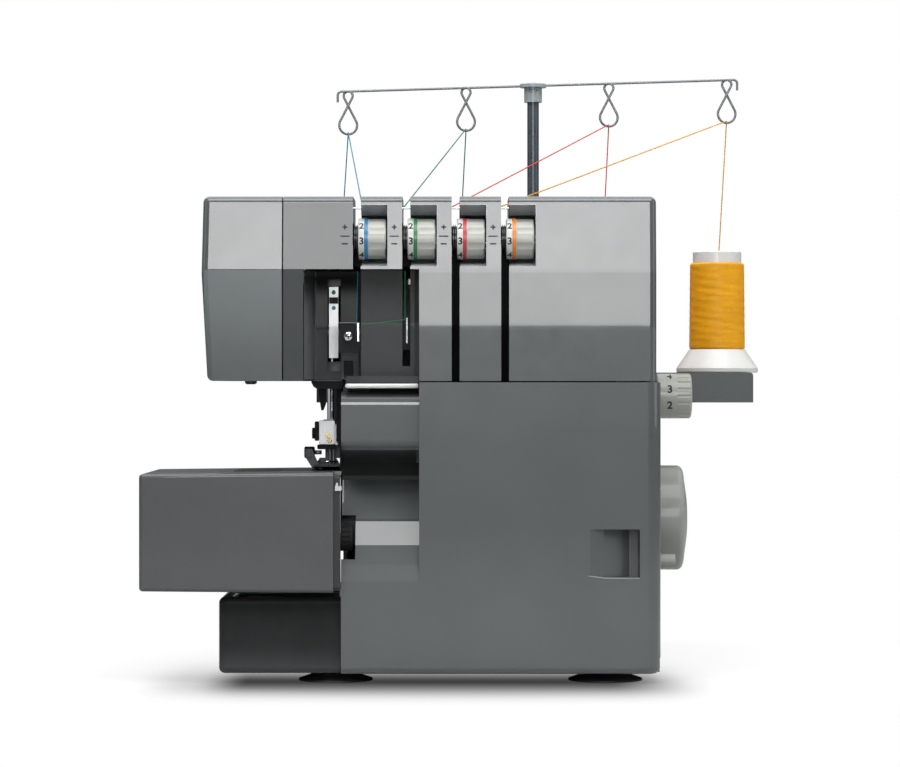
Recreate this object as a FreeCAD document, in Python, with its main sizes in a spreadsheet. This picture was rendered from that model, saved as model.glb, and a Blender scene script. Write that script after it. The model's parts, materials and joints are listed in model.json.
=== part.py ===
"""Four-thread overlock machine (serger) with thread stand, as separate pieces.

Millimetres, +Z up, +X to the operator's right, +Y to the back. The origin is the centre of the overall
box, on the surface that the feet stand on.
"""
import FreeCAD
import Part
import Sketcher
import math
import os

DOC = FreeCAD.newDocument("overlock_machine")
SHEET = DOC.addObject("Spreadsheet::Sheet", "Dims")
KEPT = []

# Driving dimensions: alias, value, meaning
DIMENSIONS = [
    # casing
    ("front_y", -124, "front face of the casing"),
    ("back_y", 31, "back face of the casing"),
    ("floor_gap", 5.7, "height of the casing's underside"),
    ("wall", 2.5, "casing wall"),
    ("panel_gap", 0.8, "gap between casing panels"),
    ("slide_gap", 0.4, "clearance round pieces that slide or swing"),
    ("bore_gap", 0.05, "radial running clearance"),
    ("base_left", -147.7, "left side of the lower casing"),
    ("seam_x", -74, "left edge of the front cover and pillar"),
    ("scoop_right", -27, "right side of the waste scoop and the threading window"),
    ("base_right", 118.4, "right side of the lower casing"),
    ("base_top", 181, "top of the lower casing"),
    ("left_base_top", 52, "top of the lower left casing"),
    ("left_base_setback", 4, "lower left casing behind the front face"),
    ("edge_round", 4, "rounding of long casing edges"),
    # front cover
    ("cover_depth", 16, "depth of the front cover's side return"),
    ("cover_lip", 5, "depth of the front cover's bottom lip"),
    ("cover_corner", 8, "rounding of the front cover's right edge"),
    ("scoop_low", 61.5, "front edge of the scoop floor"),
    ("scoop_high", 175.5, "top of the scoop's nose"),
    ("scoop_depth", 38, "depth of the scoop behind the front face"),
    ("nose_set", 3.5, "nose face behind the front face"),
    ("nose_round", 8, "rounding of the nose"),
    ("finger_left", 75.5, "shallow end of the finger recess"),
    ("finger_right", 105.5, "deep end of the finger recess"),
    ("finger_low", 64, "lower edge of the finger recess"),
    ("finger_tall", 28.7, "height of the finger recess"),
    ("finger_depth", 9, "depth of the finger recess"),
    ("hinge_set", 9, "cover hinge axis behind the front face"),
    ("hinge_rise", 7.5, "cover hinge axis above the casing's underside"),
    ("hinge_rod_r", 2, "cover hinge rod radius"),
    ("hinge_bush_r", 4, "cover hinge bush radius"),
    ("lug_wide", 6, "width of a hinge lug"),
    # head
    ("head_left", -157.9, "left side of the head"),
    ("end_seam", -108.7, "seam between end cover and upper cover"),
    ("head_top", 293, "top of the head"),
    ("crease_z", 249, "height of the crease across the front"),
    ("lower_lean", 2.2, "set back of the head front at its bottom"),
    ("upper_lean", 4.5, "set back of the head front at its top"),
    ("ridge_depth", 62, "depth of the high part of the top"),
    ("step_z", 272, "height of the low part of the top"),
    ("upper_right", 115.6, "right side of the upper casing"),
    ("window_left", -96.7, "left side of the threading window"),
    ("slot_first", -64.5, "centre of the first thread slot"),
    ("slot_pitch", 29.7, "distance between thread slots"),
    ("slot_wide", 4.8, "width of a thread slot"),
    ("web_top", 276, "floor of the thread channels over the top"),
    ("web_set", 29.5, "inner web behind the front face"),
    # tension units
    ("dial_z", 267.6, "height of the tension dial axis"),
    ("dial_set", 13.5, "tension dial axis behind the front face"),
    ("dial_r", 12.4, "tension dial radius"),
    ("dial_start", 0.8, "dial end right of its slot centre"),
    ("dial_long", 16.8, "tension dial length"),
    ("dial_room", 1.8, "radial room round a dial"),
    ("recess_wide", 18.4, "dial recess width from the slot centre"),
    ("recess_low", 250.8, "lower edge of a dial recess"),
    ("recess_high", 287.7, "upper edge of a dial recess"),
    ("post_r", 2, "tension post radius"),
    ("disc_r", 8.5, "tension disc radius"),
    # needle and presser
    ("needle_x", -81.4, "needle bar axis"),
    ("needle_set", 58, "needle bar axis behind the front face"),
    ("bed_z", 127, "sewing surface"),
    ("plate_thick", 2.6, "needle plate thickness"),
    ("needle_bar_r", 3, "needle bar radius"),
    ("clamp_low", 142.6, "underside of the needle clamp"),
    ("clamp_tall", 15.5, "height of the needle clamp"),
    ("clamp_wide", 9.4, "width of the needle clamp"),
    ("clamp_deep", 8, "depth of the needle clamp"),
    ("needle_gap", 2.2, "distance between the two needles"),
    ("needle_r", 0.5, "needle radius"),
    ("needle_tip", 118, "needle point at rest"),
    ("presser_set", 14, "presser bar behind the needle bar"),
    ("presser_bar_r", 3, "presser bar radius"),
    ("foot_wide", 16, "presser foot width"),
    ("foot_long", 34, "presser foot length"),
    ("lifter_drop", 17, "lifter pivot above the underside of the head"),
    # free arm and table
    ("arm_left", -140, "left end of the free arm"),
    ("arm_front", -98, "front of the free arm"),
    ("arm_back", -34, "back of the free arm"),
    ("arm_low", 82, "underside of the free arm"),
    ("arm_neck_front", -80, "front of the free arm inside the pillar"),
    ("table_left", -194.8, "left end of the extension table"),
    ("table_right", -78.5, "right end of the extension table"),
    ("table_front", -130, "front face of the extension table"),
    ("table_back", -6, "back face of the extension table"),
    ("table_low", 54.8, "underside of the extension table"),
    ("table_taper", 1.3, "taper of the table's front towards its left end"),
    # drive
    ("frame_left", -60, "outer face of the frame's left wall"),
    ("frame_right", 98, "outer face of the frame's right wall"),
    ("frame_wall", 6, "frame wall"),
    ("frame_front", -82.5, "front of the frame"),
    ("frame_top", 172, "top of the frame walls"),
    ("shaft_set", 80, "main shaft behind the front face"),
    ("shaft_z", 96.7, "main shaft height"),
    ("shaft_r", 5, "main shaft radius"),
    ("wheel_r", 32.5, "handwheel radius"),
    ("wheel_wide", 20, "handwheel width"),
    ("pulley_r", 30, "main shaft pulley radius"),
    ("motor_y", -14, "motor axis depth"),
    ("motor_z", 44, "motor axis height"),
    ("motor_r", 24, "motor body radius"),
    ("motor_pulley_r", 9, "motor pulley radius"),
    ("pulley_left", 101, "left face of the pulleys"),
    ("pulley_wide", 9, "pulley width"),
    ("belt_thick", 1.8, "drive belt thickness"),
    # right side controls
    ("length_dial_set", 60, "stitch length dial behind the front face"),
    ("length_dial_z", 172.6, "stitch length dial height"),
    ("length_dial_r", 13.9, "stitch length dial radius"),
    ("length_dial_long", 22, "stitch length dial length"),
    ("feed_lever_set", 34, "differential feed lever pivot behind the front face"),
    ("feed_lever_z", 72, "differential feed lever knob height"),
    ("feed_lever_reach", 18, "differential feed lever length"),
    ("switch_set", 140, "power switch and inlet behind the front face"),
    ("switch_z", 64, "power switch height"),
    ("inlet_z", 34, "power inlet height"),
    # thread stand
    ("stand_low", 168, "underside of the spool stand"),
    ("stand_high", 187.4, "top of the spool stand"),
    ("stand_back", 130, "back of the spool stand"),
    ("stand_half", 141.2, "half length of the spool stand"),
    ("stand_corner", 12, "rounding of the spool stand's back corners"),
    ("mast_x", 46.4, "mast axis"),
    ("mast_y", 79, "mast and spool row"),
    ("mast_tube_r", 5.4, "outer mast tube radius"),
    ("mast_rod_r", 3.85, "sliding mast tube radius"),
    ("mast_tube_top", 298, "top of the outer mast tube"),
    ("mast_rod_low", 262, "lower end of the sliding mast tube"),
    ("mast_cap_low", 366, "underside of the mast cap"),
    ("mast_cap_tall", 12.4, "height of the mast cap"),
    ("bar_r", 0.8, "guide wire radius"),
    ("bar_half", 132, "half length of the guide wire"),
    ("eye_end", 6.9, "distance of an outer eye from the wire's end"),
    ("eye_inner", 47.2, "distance of an inner eye from the wire's middle"),
    ("bar_rise", 0.03, "rise of the guide wire to the right, per unit length"),
    ("eye_r", 5.9, "radius of a thread eye's lower loop"),
    ("eye_small_r", 3, "radius of a thread eye's upper loop"),
    ("eye_drop", 22.4, "lower loop's centre under the wire"),
    ("spool_inner", 40.5, "inner spools from the mast"),
    ("spool_outer", 121.6, "outer spools from the mast"),
    ("spool_pin_r", 3.2, "spool pin radius"),
    ("spool_base_r", 26.8, "spool foot radius"),
    ("spool_core_r", 16, "spool core radius"),
    ("spool_pack_r", 18.4, "wound thread radius"),
    ("spool_pack_low", 15.4, "wound thread above the spool's foot"),
    ("spool_pack_tall", 57, "wound thread height"),
    ("spool_tall", 80, "spool height"),
    ("thread_r", 0.25, "thread radius"),
    # feet
    ("foot_r", 22.5, "rubber foot radius"),
    ("feet_left", -78, "left feet"),
    ("feet_right", 86, "right feet"),
    ("feet_front", -95, "front feet"),
    ("feet_rear", 2, "rear feet"),
]


class Size:
    """A length with the sheet formula that gives it, so that sums of lengths stay tied to the sheet."""

    def __init__(self, value, formula):
        self.value = value
        self.formula = formula

    def __add__(self, other):
        return joined(self, other, "+")

    def __radd__(self, other):
        return joined(other, self, "+")

    def __sub__(self, other):
        return joined(self, other, "-")

    def __rsub__(self, other):
        return joined(other, self, "-")

    def __mul__(self, other):
        return joined(self, other, "*")

    def __rmul__(self, other):
        return joined(other, self, "*")

    def __truediv__(self, other):
        return joined(self, other, "/")

    def __neg__(self):
        return joined(0.0, self, "-")


def as_size(number):
    """A Size as it is, or a plain number as a Size."""
    if isinstance(number, Size):
        return number
    return Size(float(number), f"({float(number)})")


def joined(left, right, sign):
    """The sum, difference, product or quotient of two sizes."""
    left, right = as_size(left), as_size(right)
    results = {
        "+": left.value + right.value,
        "-": left.value - right.value,
        "*": left.value * right.value,
    }
    value = left.value / right.value if sign == "/" else results[sign]
    return Size(value, f"({left.formula} {sign} {right.formula})")


class Sheet:
    """The sheet's aliases as Sizes."""


def fill_sheet():
    """Write the driving dimensions to the sheet and give them as Sizes."""
    sizes = Sheet()
    for row, (alias, value, meaning) in enumerate(DIMENSIONS, start=1):
        SHEET.set(f"A{row}", meaning)
        SHEET.set(f"B{row}", str(value))
        SHEET.setAlias(f"B{row}", alias)
        setattr(sizes, alias, Size(float(value), f"Dims.{alias}"))
    DOC.recompute()
    return sizes


QUARTER = math.tan(math.pi / 8)
TURNS = {
    "X": FreeCAD.Rotation(FreeCAD.Vector(0, 1, 0), 90),
    "Y": FreeCAD.Rotation(FreeCAD.Vector(1, 0, 0), -90),
    "Z": FreeCAD.Rotation(),
}


def vector(point):
    """A FreeCAD vector from a point of Sizes or numbers."""
    return FreeCAD.Vector(*(as_size(value).value for value in point))


def bind(item, name, length):
    """Tie a property to its formula."""
    item.setExpression(name, as_size(length).formula)


def place(item, point, turn=FreeCAD.Rotation()):
    """Put an object at a point that is tied to the sheet."""
    item.Placement = FreeCAD.Placement(vector(point), turn)
    for letter, value in zip("xyz", point):
        bind(item, f"Placement.Base.{letter}", value)


def box(name, across, deep, tall):
    """A block between two values along X, Y and Z."""
    block = DOC.addObject("Part::Box", name)
    for side, (low, high) in zip(("Length", "Width", "Height"), (across, deep, tall)):
        bind(block, side, high - low)
    place(block, (across[0], deep[0], tall[0]))
    return block


def rod(name, axis, start, length, radius):
    """A round rod from a start point along an axis."""
    bar = DOC.addObject("Part::Cylinder", name)
    bind(bar, "Radius", radius)
    bind(bar, "Height", length)
    place(bar, start, TURNS[axis])
    return bar


def cut(name, base, *tools):
    """The base with the tools taken away."""
    result = DOC.addObject("Part::Cut", name)
    result.Base = base
    result.Tool = tools[0] if len(tools) == 1 else fuse(name + "_tools", *tools)
    return result


def fuse(name, *pieces):
    """One solid from touching pieces."""
    result = DOC.addObject("Part::MultiFuse", name)
    result.Shapes = list(pieces)
    result.Refine = True
    return result


def common(name, first, second):
    """What two solids share."""
    result = DOC.addObject("Part::Common", name)
    result.Base = first
    result.Tool = second
    return result


def rounded(name, base, radius, wanted):
    """The base with the edges that the test picks rounded."""
    DOC.recompute()
    size = as_size(radius).value
    result = DOC.addObject("Part::Fillet", name)
    result.Base = base
    edges = enumerate(base.Shape.Edges, start=1)
    result.Edges = [(number, size, size) for number, edge in edges if wanted(edge)]
    return result


def straight(axis, **near):
    """A test for straight edges along an axis, at the given coordinates."""
    direction = TURNS[axis].multVec(FreeCAD.Vector(0, 0, 1))

    def test(edge):
        if not isinstance(edge.Curve, Part.Line):
            return False
        if abs(abs(edge.Curve.Direction.dot(direction)) - 1) > 0.02:
            return False
        middle = edge.CenterOfMass
        return all(
            abs(getattr(middle, letter) - as_size(value).value) < 0.05 for letter, value in near.items()
        )

    return test


def either(*tests):
    """A test that holds where any of the tests holds."""
    return lambda edge: any(test(edge) for test in tests)


def new_body(name, plane):
    """A body and an empty sketch on one of its origin planes."""
    body = DOC.addObject("PartDesign::Body", name)
    sketch = body.newObject("Sketcher::SketchObject", name + "_outline")
    support = [item for item in body.Origin.OriginFeatures if item.Role == plane + "_Plane"][0]
    sketch.AttachmentSupport = [(support, "")]
    sketch.MapMode = "FlatFace"
    return body, sketch


def arc_between(start, end, bulge):
    """The arc from start to end, with its rise given as a share of half the chord (left turn positive)."""
    chord = end - start
    length = chord.Length
    radius = length * (1 + bulge * bulge) / (4 * abs(bulge))
    left = FreeCAD.Vector(-chord.y, chord.x, 0) / length
    rise = abs(bulge) * length / 2
    side = 1 if bulge > 0 else -1
    centre = (start + end) / 2 + left * side * (radius - rise)
    circle = Part.Circle(centre, FreeCAD.Vector(0, 0, 1), radius)
    first, last = (start, end) if bulge > 0 else (end, start)
    first_angle = math.atan2(first.y - centre.y, first.x - centre.x)
    last_angle = math.atan2(last.y - centre.y, last.x - centre.x)
    return Part.ArcOfCircle(circle, first_angle, last_angle)


def draw(sketch, outline):
    """Draw a closed outline of (u, v) or (u, v, bulge) corners, each tied to the sheet."""
    corners = [(as_size(corner[0]), as_size(corner[1])) for corner in outline]
    bulges = [corner[2] if len(corner) > 2 else 0 for corner in outline]
    points = [FreeCAD.Vector(u.value, v.value, 0) for u, v in corners]
    ends = []
    for index, bulge in enumerate(bulges):
        start, end = points[index], points[(index + 1) % len(points)]
        curve = arc_between(start, end, bulge) if bulge else Part.LineSegment(start, end)
        number = sketch.addGeometry(curve, False)
        ends.append((number, 1, 2) if bulge >= 0 else (number, 2, 1))
    for index, (number, first, last) in enumerate(ends):
        following = ends[(index + 1) % len(ends)]
        sketch.addConstraint(Sketcher.Constraint("Coincident", number, last, following[0], following[1]))
        for kind, length in zip(("DistanceX", "DistanceY"), corners[index]):
            mark = sketch.addConstraint(Sketcher.Constraint(kind, -1, 1, number, first, length.value))
            bind(sketch, f"Constraints[{mark}]", length)
    for index, bulge in enumerate(bulges):
        if bulge:
            tie_radius(sketch, ends[index][0], corners[index], corners[(index + 1) % len(corners)], bulge)


def tie_radius(sketch, number, start, end, bulge):
    """Tie an arc's radius to its chord."""
    across, up = end[0] - start[0], end[1] - start[1]
    share = (1 + bulge * bulge) / (4 * abs(bulge))
    radius = share * math.hypot(across.value, up.value)
    mark = sketch.addConstraint(Sketcher.Constraint("Radius", number, radius))
    sketch.setExpression(
        f"Constraints[{mark}]", f"{share} * sqrt({across.formula} ^ 2 + {up.formula} ^ 2)"
    )


def extrude(name, plane, outline, start, length):
    """A pad of a closed outline, from start along the plane's third axis."""
    body, sketch = new_body(name, plane)
    draw(sketch, outline)
    backwards = plane == "XZ"
    bind(sketch, "AttachmentOffset.Base.z", -start if backwards else start)
    pad = body.newObject("PartDesign::Pad", name + "_pad")
    pad.Profile = sketch
    pad.Reversed = backwards
    bind(pad, "Length", length)
    sketch.Visibility = False
    return body


def revolve(name, outline, axis, start):
    """A turned piece: outline of (radius, height) corners, standing on start along an axis."""
    body, sketch = new_body(name, "XZ")
    draw(sketch, outline)
    turned = body.newObject("PartDesign::Revolution", name + "_turned")
    turned.Profile = sketch
    turned.ReferenceAxis = (sketch, ["V_Axis"])
    turned.Angle = 360
    sketch.Visibility = False
    place(body, start, TURNS[axis])
    return body


def solid(name, shape):
    """A piece whose shape is worked out from the sheet's sizes."""
    piece = DOC.addObject("Part::Feature", name)
    piece.Shape = shape
    return piece


def group(name, pieces):
    """Separate solids that share one node."""
    result = DOC.addObject("Part::Compound", name)
    result.Links = list(pieces)
    return result


def keep(piece, label):
    """Name a finished piece and list it for export."""
    piece.Label = label
    KEPT.append(piece)
    return piece


d = fill_sheet()

# Places that several pieces share
front = d.front_y
back = d.back_y
head_bottom = d.base_top + d.panel_gap
base_thick = 3
plate_low = d.floor_gap
plate_high = d.floor_gap + base_thick
plate_front = front + 22
hinge_y = front + d.hinge_set
hinge_z = d.floor_gap + d.hinge_rise
needle_y = front + d.needle_set
presser_y = needle_y + d.presser_set
shaft_y = front + d.shaft_set
ridge_back = front + d.ridge_depth
pillar_front = front + d.cover_depth + d.panel_gap
slot_centres = [d.slot_first + d.slot_pitch * number for number in range(4)]
slot_floors = [d.crease_z, d.crease_z, head_bottom, head_bottom]
half_slot = d.slot_wide / 2
spool_places = [
    d.mast_x + offset for offset in (-d.spool_outer, -d.spool_inner, d.spool_inner, d.spool_outer)
]
COLOURS = ["blue", "green", "red", "yellow"]
DIAL_COLOURS = ["blue", "green", "red", "orange"]
foot_places = [(x, y) for x in (d.feet_left, d.feet_right) for y in (d.feet_front, d.feet_rear)]
stud_r = 4
base_lug_places = [d.seam_x + 3, d.seam_x + 90, d.base_right - d.wall - d.lug_wide - 1]
cover_lug_places = [d.seam_x + 12, d.base_right - 26]


def make_feet():
    """Flared rubber feet with a hollow underside, held by studs through the bottom plate."""
    outline = [
        (0, 1.4), (d.foot_r - 7, 1.4), (d.foot_r - 4, 0), (d.foot_r, 0), (d.foot_r, 1.1),
        (d.foot_r - 7, 3.6), (d.foot_r - 9.5, plate_low), (stud_r, plate_low), (stud_r, plate_high),
        (0, plate_high),
    ]
    feet = [revolve(f"foot_{n}", outline, "Z", (x, y, 0)) for n, (x, y) in enumerate(foot_places)]
    keep(group("feet", feet), "rubber_feet")


def make_base_plate():
    """Bottom plate with raised lugs that hold the front cover's hinge rod."""
    low_x = d.base_left + d.wall + d.slide_gap
    high_x = d.base_right - d.wall - d.slide_gap
    plate = box("plate", (low_x, high_x), (plate_front, back - d.wall - d.slide_gap), (plate_low, plate_high))
    lugs = []
    for n, x in enumerate(base_lug_places):
        side = [
            (plate_front, plate_high), (plate_front + 10, plate_high), (plate_front + 10, hinge_z),
            (plate_front + 4, hinge_z + 4), (hinge_y, hinge_z + 4, QUARTER), (hinge_y - 4, hinge_z, QUARTER),
            (hinge_y, hinge_z - 4), (plate_front, hinge_z - 4),
        ]
        lugs.append(extrude(f"base_lug_{n}", "YZ", side, x, d.lug_wide))
    rod_hole = rod(
        "rod_hole", "X", (d.seam_x, hinge_y, hinge_z), d.base_right - d.seam_x, d.hinge_rod_r + d.bore_gap
    )
    stud_holes = [
        rod(f"stud_hole_{n}", "Z", (x, y, plate_low - 1), base_thick + 2, stud_r + d.bore_gap)
        for n, (x, y) in enumerate(foot_places)
    ]
    keep(cut("plate_done", fuse("plate_lugs", plate, *lugs), rod_hole, *stud_holes), "base_plate")


def make_left_base():
    """Lower left casing: an open-bottomed shell under the free arm."""
    outer_front = front + d.left_base_setback
    right = d.seam_x - d.panel_gap / 2
    block = box("left_block", (d.base_left, right), (outer_front, back), (plate_low, d.left_base_top))
    edges = either(
        straight("Z", x=d.base_left),
        straight("Y", x=d.base_left),
        straight("X", y=outer_front),
    )
    shell = rounded("left_rounded", block, d.edge_round, edges)
    hollow = box(
        "left_hollow", (d.base_left + d.wall, right + 1), (outer_front + d.wall, back - d.wall),
        (plate_low - 1, d.left_base_top - d.wall),
    )
    keep(cut("left_base", shell, hollow), "left_base_cover")


def scoop_outline(back_skin):
    """Section of the waste scoop: nose, deep throat and sloping floor, with its back skin."""
    y, low, high = front, d.scoop_low, d.scoop_high
    nose, curl, deep = d.nose_set, d.nose_round, d.scoop_depth
    face = [
        (y, low), (y + 2.5, low + 10), (y + 6, low + 21.5), (y + 14, low + 35.5, 0.12),
        (y + deep - 3, low + 60, 0.3), (y + deep - 8, low + 74),
        (y + nose + curl, low + 78.5, -QUARTER), (y + nose, low + 78.5 + curl),
        (y + nose, high - curl, -QUARTER), (y + nose + curl, high),
    ]
    nose_skin = [
        (y + 30, high), (y + 30, high - d.wall), (y + nose + curl, high - d.wall),
        (y + nose + d.wall, high - curl - 1), (y + nose + d.wall, low + 80.5 + curl),
        (y + nose + curl + 2, low + 81.2),
    ]
    throat_skin = [
        (y + deep - 5, low + 76.5), (y + deep + 0.5, low + 70), (y + deep + d.wall, low + 62),
        (y + deep - 9, low + 44.5), (y + 17.5, low + 34), (y + 9, low + 20.5), (y + 5.3, low + 8.8),
        (y + 3, low - d.wall), (y, low - d.wall),
    ]
    skin = nose_skin + throat_skin
    side = throat_skin + [(y, d.base_top), (y + 30, high)]
    return face + skin if back_skin else side


def make_front_cover():
    """Front cover: shell with the waste scoop on its left and a finger recess on its right."""
    far = front + d.cover_depth
    block = box("cover_block", (d.seam_x, d.base_right), (front, far), (plate_low, d.base_top))
    corner = rounded("cover_corner", block, d.cover_corner, straight("Z", x=d.base_right, y=front))
    low_edges = either(straight("X", y=front, z=plate_low), straight("Y", x=d.base_right, z=plate_low))
    skin = rounded("cover_skin", corner, d.edge_round, low_edges)
    hollow = box(
        "cover_hollow", (d.seam_x - 1, d.base_right - d.wall), (front + d.wall, far + 1),
        (plate_low + d.wall, d.base_top - d.wall),
    )
    under = box(
        "cover_under", (d.seam_x - 1, d.base_right + 1), (front + d.cover_lip, far + 1),
        (plate_low - 1, hinge_z + 2),
    )
    scoop_gap = box(
        "scoop_gap", (d.seam_x - 1, d.scoop_right), (front - 1, far + 1), (d.scoop_low, d.base_top + 1)
    )
    def finger(name, grow):
        plan = [
            (d.finger_left - grow, front - 1 + grow), (d.finger_right + grow, front - 1 + grow),
            (d.finger_right + grow, front + d.finger_depth + grow),
            (d.finger_right - 6, front + d.finger_depth + grow, -0.12),
            (d.finger_left - grow, front + grow),
        ]
        return extrude(name, "XY", plan, d.finger_low - grow, d.finger_tall + grow * 2)

    shell = cut("cover_shell", skin, hollow, under, scoop_gap)
    scoop = extrude("scoop", "YZ", scoop_outline(True), d.seam_x, d.scoop_right - d.seam_x)
    cheek = extrude("scoop_cheek", "YZ", scoop_outline(False), d.scoop_right, d.wall)
    lugs = [
        box(
            f"cover_lug_{n}", (x, x + d.lug_wide), (front + d.wall, hinge_y + d.hinge_bush_r + 2.5),
            (hinge_z - d.hinge_bush_r - 2, hinge_z + d.hinge_bush_r + 2.5),
        )
        for n, x in enumerate(cover_lug_places)
    ]
    whole = fuse("cover_whole", shell, scoop, cheek, finger("finger_wall", d.wall), *lugs)
    bush_holes = [
        rod(
            f"bush_hole_{n}", "X", (x - 1, hinge_y, hinge_z), d.lug_wide + 2, d.hinge_bush_r + d.bore_gap
        )
        for n, x in enumerate(cover_lug_places)
    ]
    notch = box(
        "knob_notch", (d.seam_x - 1, d.seam_x + 8.5), (front + 3, front + d.scoop_depth + 8),
        (d.scoop_low + 13, d.scoop_low + 39),
    )
    keep(cut("cover_done", whole, finger("finger_room", as_size(0)), notch, *bush_holes), "front_cover")
    hinge_low = d.seam_x + 3
    keep(
        rod(
            "hinge_rod", "X", (hinge_low, hinge_y, hinge_z), base_lug_places[2] + d.lug_wide - hinge_low, d.hinge_rod_r
        ),
        "cover_hinge_rod",
    )
    bushes = [
        cut(
            f"bush_{n}",
            rod(f"bush_body_{n}", "X", (x - 2, hinge_y, hinge_z), d.lug_wide + 4, d.hinge_bush_r),
            rod(f"bush_bore_{n}", "X", (x - 3, hinge_y, hinge_z), d.lug_wide + 6, d.hinge_rod_r + d.bore_gap),
        )
        for n, x in enumerate(cover_lug_places)
    ]
    keep(group("bushes", bushes), "cover_hinge_bushes")


def make_rear_cover():
    """Rear casing: pillar and head back in one shell, with a grip recess in its top."""
    pillar = box("pillar", (d.seam_x, d.base_right), (pillar_front, back), (plate_low, d.base_top))
    head_front = ridge_back + d.panel_gap
    head = box("rear_head", (d.end_seam, d.upper_right), (head_front, back), (d.base_top - 1, d.step_z))
    overhang = box(
        "rear_underside", (d.end_seam - 1, d.seam_x), (head_front - 1, back + 1), (d.base_top - 2, head_bottom)
    )
    round_pillar = rounded("pillar_rounded", pillar, d.edge_round, straight("Z", x=d.base_right, y=back))
    head_edges = either(
        straight("Z", x=d.upper_right, y=back),
        straight("X", y=back, z=d.step_z),
        straight("Y", x=d.upper_right, z=d.step_z),
    )
    round_head = rounded("rear_head_rounded", head, d.edge_round, head_edges)
    body = cut("rear_outer", fuse("rear_blocks", round_pillar, round_head), overhang)
    inner_back = back - d.wall
    pillar_room = box(
        "pillar_room", (d.seam_x + d.wall, d.base_right - d.wall), (pillar_front - 1, inner_back),
        (plate_low - 1, d.base_top - d.wall),
    )
    throat = box(
        "throat", (d.seam_x + d.wall, d.upper_right - d.wall), (pillar_front - 1, inner_back),
        (d.base_top - d.wall - 1, head_bottom + d.wall + 1),
    )
    head_room = box(
        "rear_head_room", (d.end_seam - 1, d.upper_right - d.wall), (head_front - 1, inner_back),
        (head_bottom + d.wall, d.step_z - d.wall),
    )
    scoop_port = box(
        "scoop_port", (d.seam_x - 1, d.seam_x + d.wall + 1), (pillar_front - 1, front + d.scoop_depth + 7),
        (d.scoop_low - 8, d.base_top + 1),
    )
    arm_port = box(
        "arm_port", (d.seam_x - 1, d.seam_x + d.wall + 1), (front + d.scoop_depth + 6, d.arm_back + 0.6),
        (d.arm_low - 0.6, d.bed_z + 0.6),
    )
    side = d.base_right - d.wall - 1
    depth = d.wall + 2
    shaft_hole = rod("shaft_hole", "X", (side, shaft_y, d.shaft_z), depth, d.shaft_r + 2)
    dial_hole = rod(
        "dial_hole", "X", (side, front + d.length_dial_set, d.length_dial_z), depth, 4 + d.bore_gap
    )
    lever_hole = rod(
        "lever_hole", "X", (side, front + d.feed_lever_set + d.feed_lever_reach, d.feed_lever_z), depth,
        3 + d.bore_gap,
    )
    switch_y = front + d.switch_set
    switch_hole = box(
        "switch_hole", (side, side + depth), (switch_y - 8, switch_y + 8), (d.switch_z - 11, d.switch_z + 11)
    )
    inlet_hole = box(
        "inlet_hole", (side, side + depth), (switch_y - 10, switch_y + 10), (d.inlet_z - 8, d.inlet_z + 8)
    )
    presser_hole = rod(
        "presser_hole", "Z", (d.needle_x, presser_y, head_bottom - 1), d.wall + 2, d.presser_bar_r + d.slide_gap
    )
    lifter_slot = box(
        "lifter_slot", (d.needle_x - 4, d.needle_x + 4), (presser_y + 8, presser_y + 42),
        (head_bottom - 1, head_bottom + d.wall + 1),
    )
    grip = box(
        "grip_hole", (d.mast_x - 70, d.mast_x + 30), (back - 30, back - 9), (
            d.step_z - d.wall - 1, d.step_z + 1
        )
    )
    screw_holes = [
        rod(f"screw_hole_{n}", "Y", (x, back - d.wall - 1, z), d.wall + 2, 1.8)
        for n, (x, z) in enumerate(rear_screw_places)
    ]
    foot_room = box(
        "pillar_foot_room", (d.seam_x - 1, d.seam_x + d.wall + 1), (pillar_front - 1, inner_back),
        (plate_low - 1, plate_high),
    )
    shell = cut(
        "rear_shell", body, pillar_room, foot_room, throat, head_room, scoop_port, arm_port, shaft_hole,
        dial_hole, lever_hole, switch_hole, inlet_hole, presser_hole, lifter_slot, grip, *screw_holes,
    )
    cup_wall = 1.5
    cup = [
        (back - 30 - cup_wall, d.step_z - d.wall), (back - 30 - cup_wall, d.step_z - 24),
        (back - 9 + cup_wall, d.step_z - 24), (back - 9 + cup_wall, d.step_z - d.wall),
        (back - 9, d.step_z - d.wall), (back - 9, d.step_z - 24 + cup_wall),
        (back - 30, d.step_z - 24 + cup_wall), (back - 30, d.step_z - d.wall),
    ]
    channel = extrude("grip_channel", "YZ", cup, d.mast_x - 70 - cup_wall, 100 + cup_wall * 2)
    ends = [
        box(
            f"grip_end_{n}", (x, x + cup_wall), (back - 30, back - 9), (d.step_z - 24, d.step_z - d.wall)
        )
        for n, x in enumerate((d.mast_x - 70 - cup_wall, d.mast_x + 30))
    ]
    keep(fuse("rear_casing", shell, channel, *ends), "rear_cover")


rear_screw_places = [
    (x, z) for x in (d.seam_x + 12, d.base_right - 12) for z in (
        plate_low + 14, d.stand_low - 20, d.step_z - 14
    )
]


def head_outline(inset):
    """Front part of the head's section: lower facet, crease, upper facet and ridge top."""
    return [
        (front + d.lower_lean + inset, head_bottom), (front + inset, d.crease_z),
        (front + d.upper_lean + inset, d.head_top - inset),
    ]


def dial_room(name, x, width, grow):
    """The hollow that a tension dial turns in, or its wall."""
    y, z = front + d.dial_set, d.dial_z
    reach = d.dial_r + d.dial_room + grow
    section = [
        (front - 3 + grow * 2.4, d.recess_low - grow), (
            front + 5, d.recess_low - grow
        ), (y, z - reach, QUARTER),
        (y + reach, z, QUARTER), (y, z + reach), (front + 8, d.recess_high + grow),
        (front - 3 + grow * 3.6, d.recess_high + grow),
    ]
    return extrude(name, "YZ", section, x, width)


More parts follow.
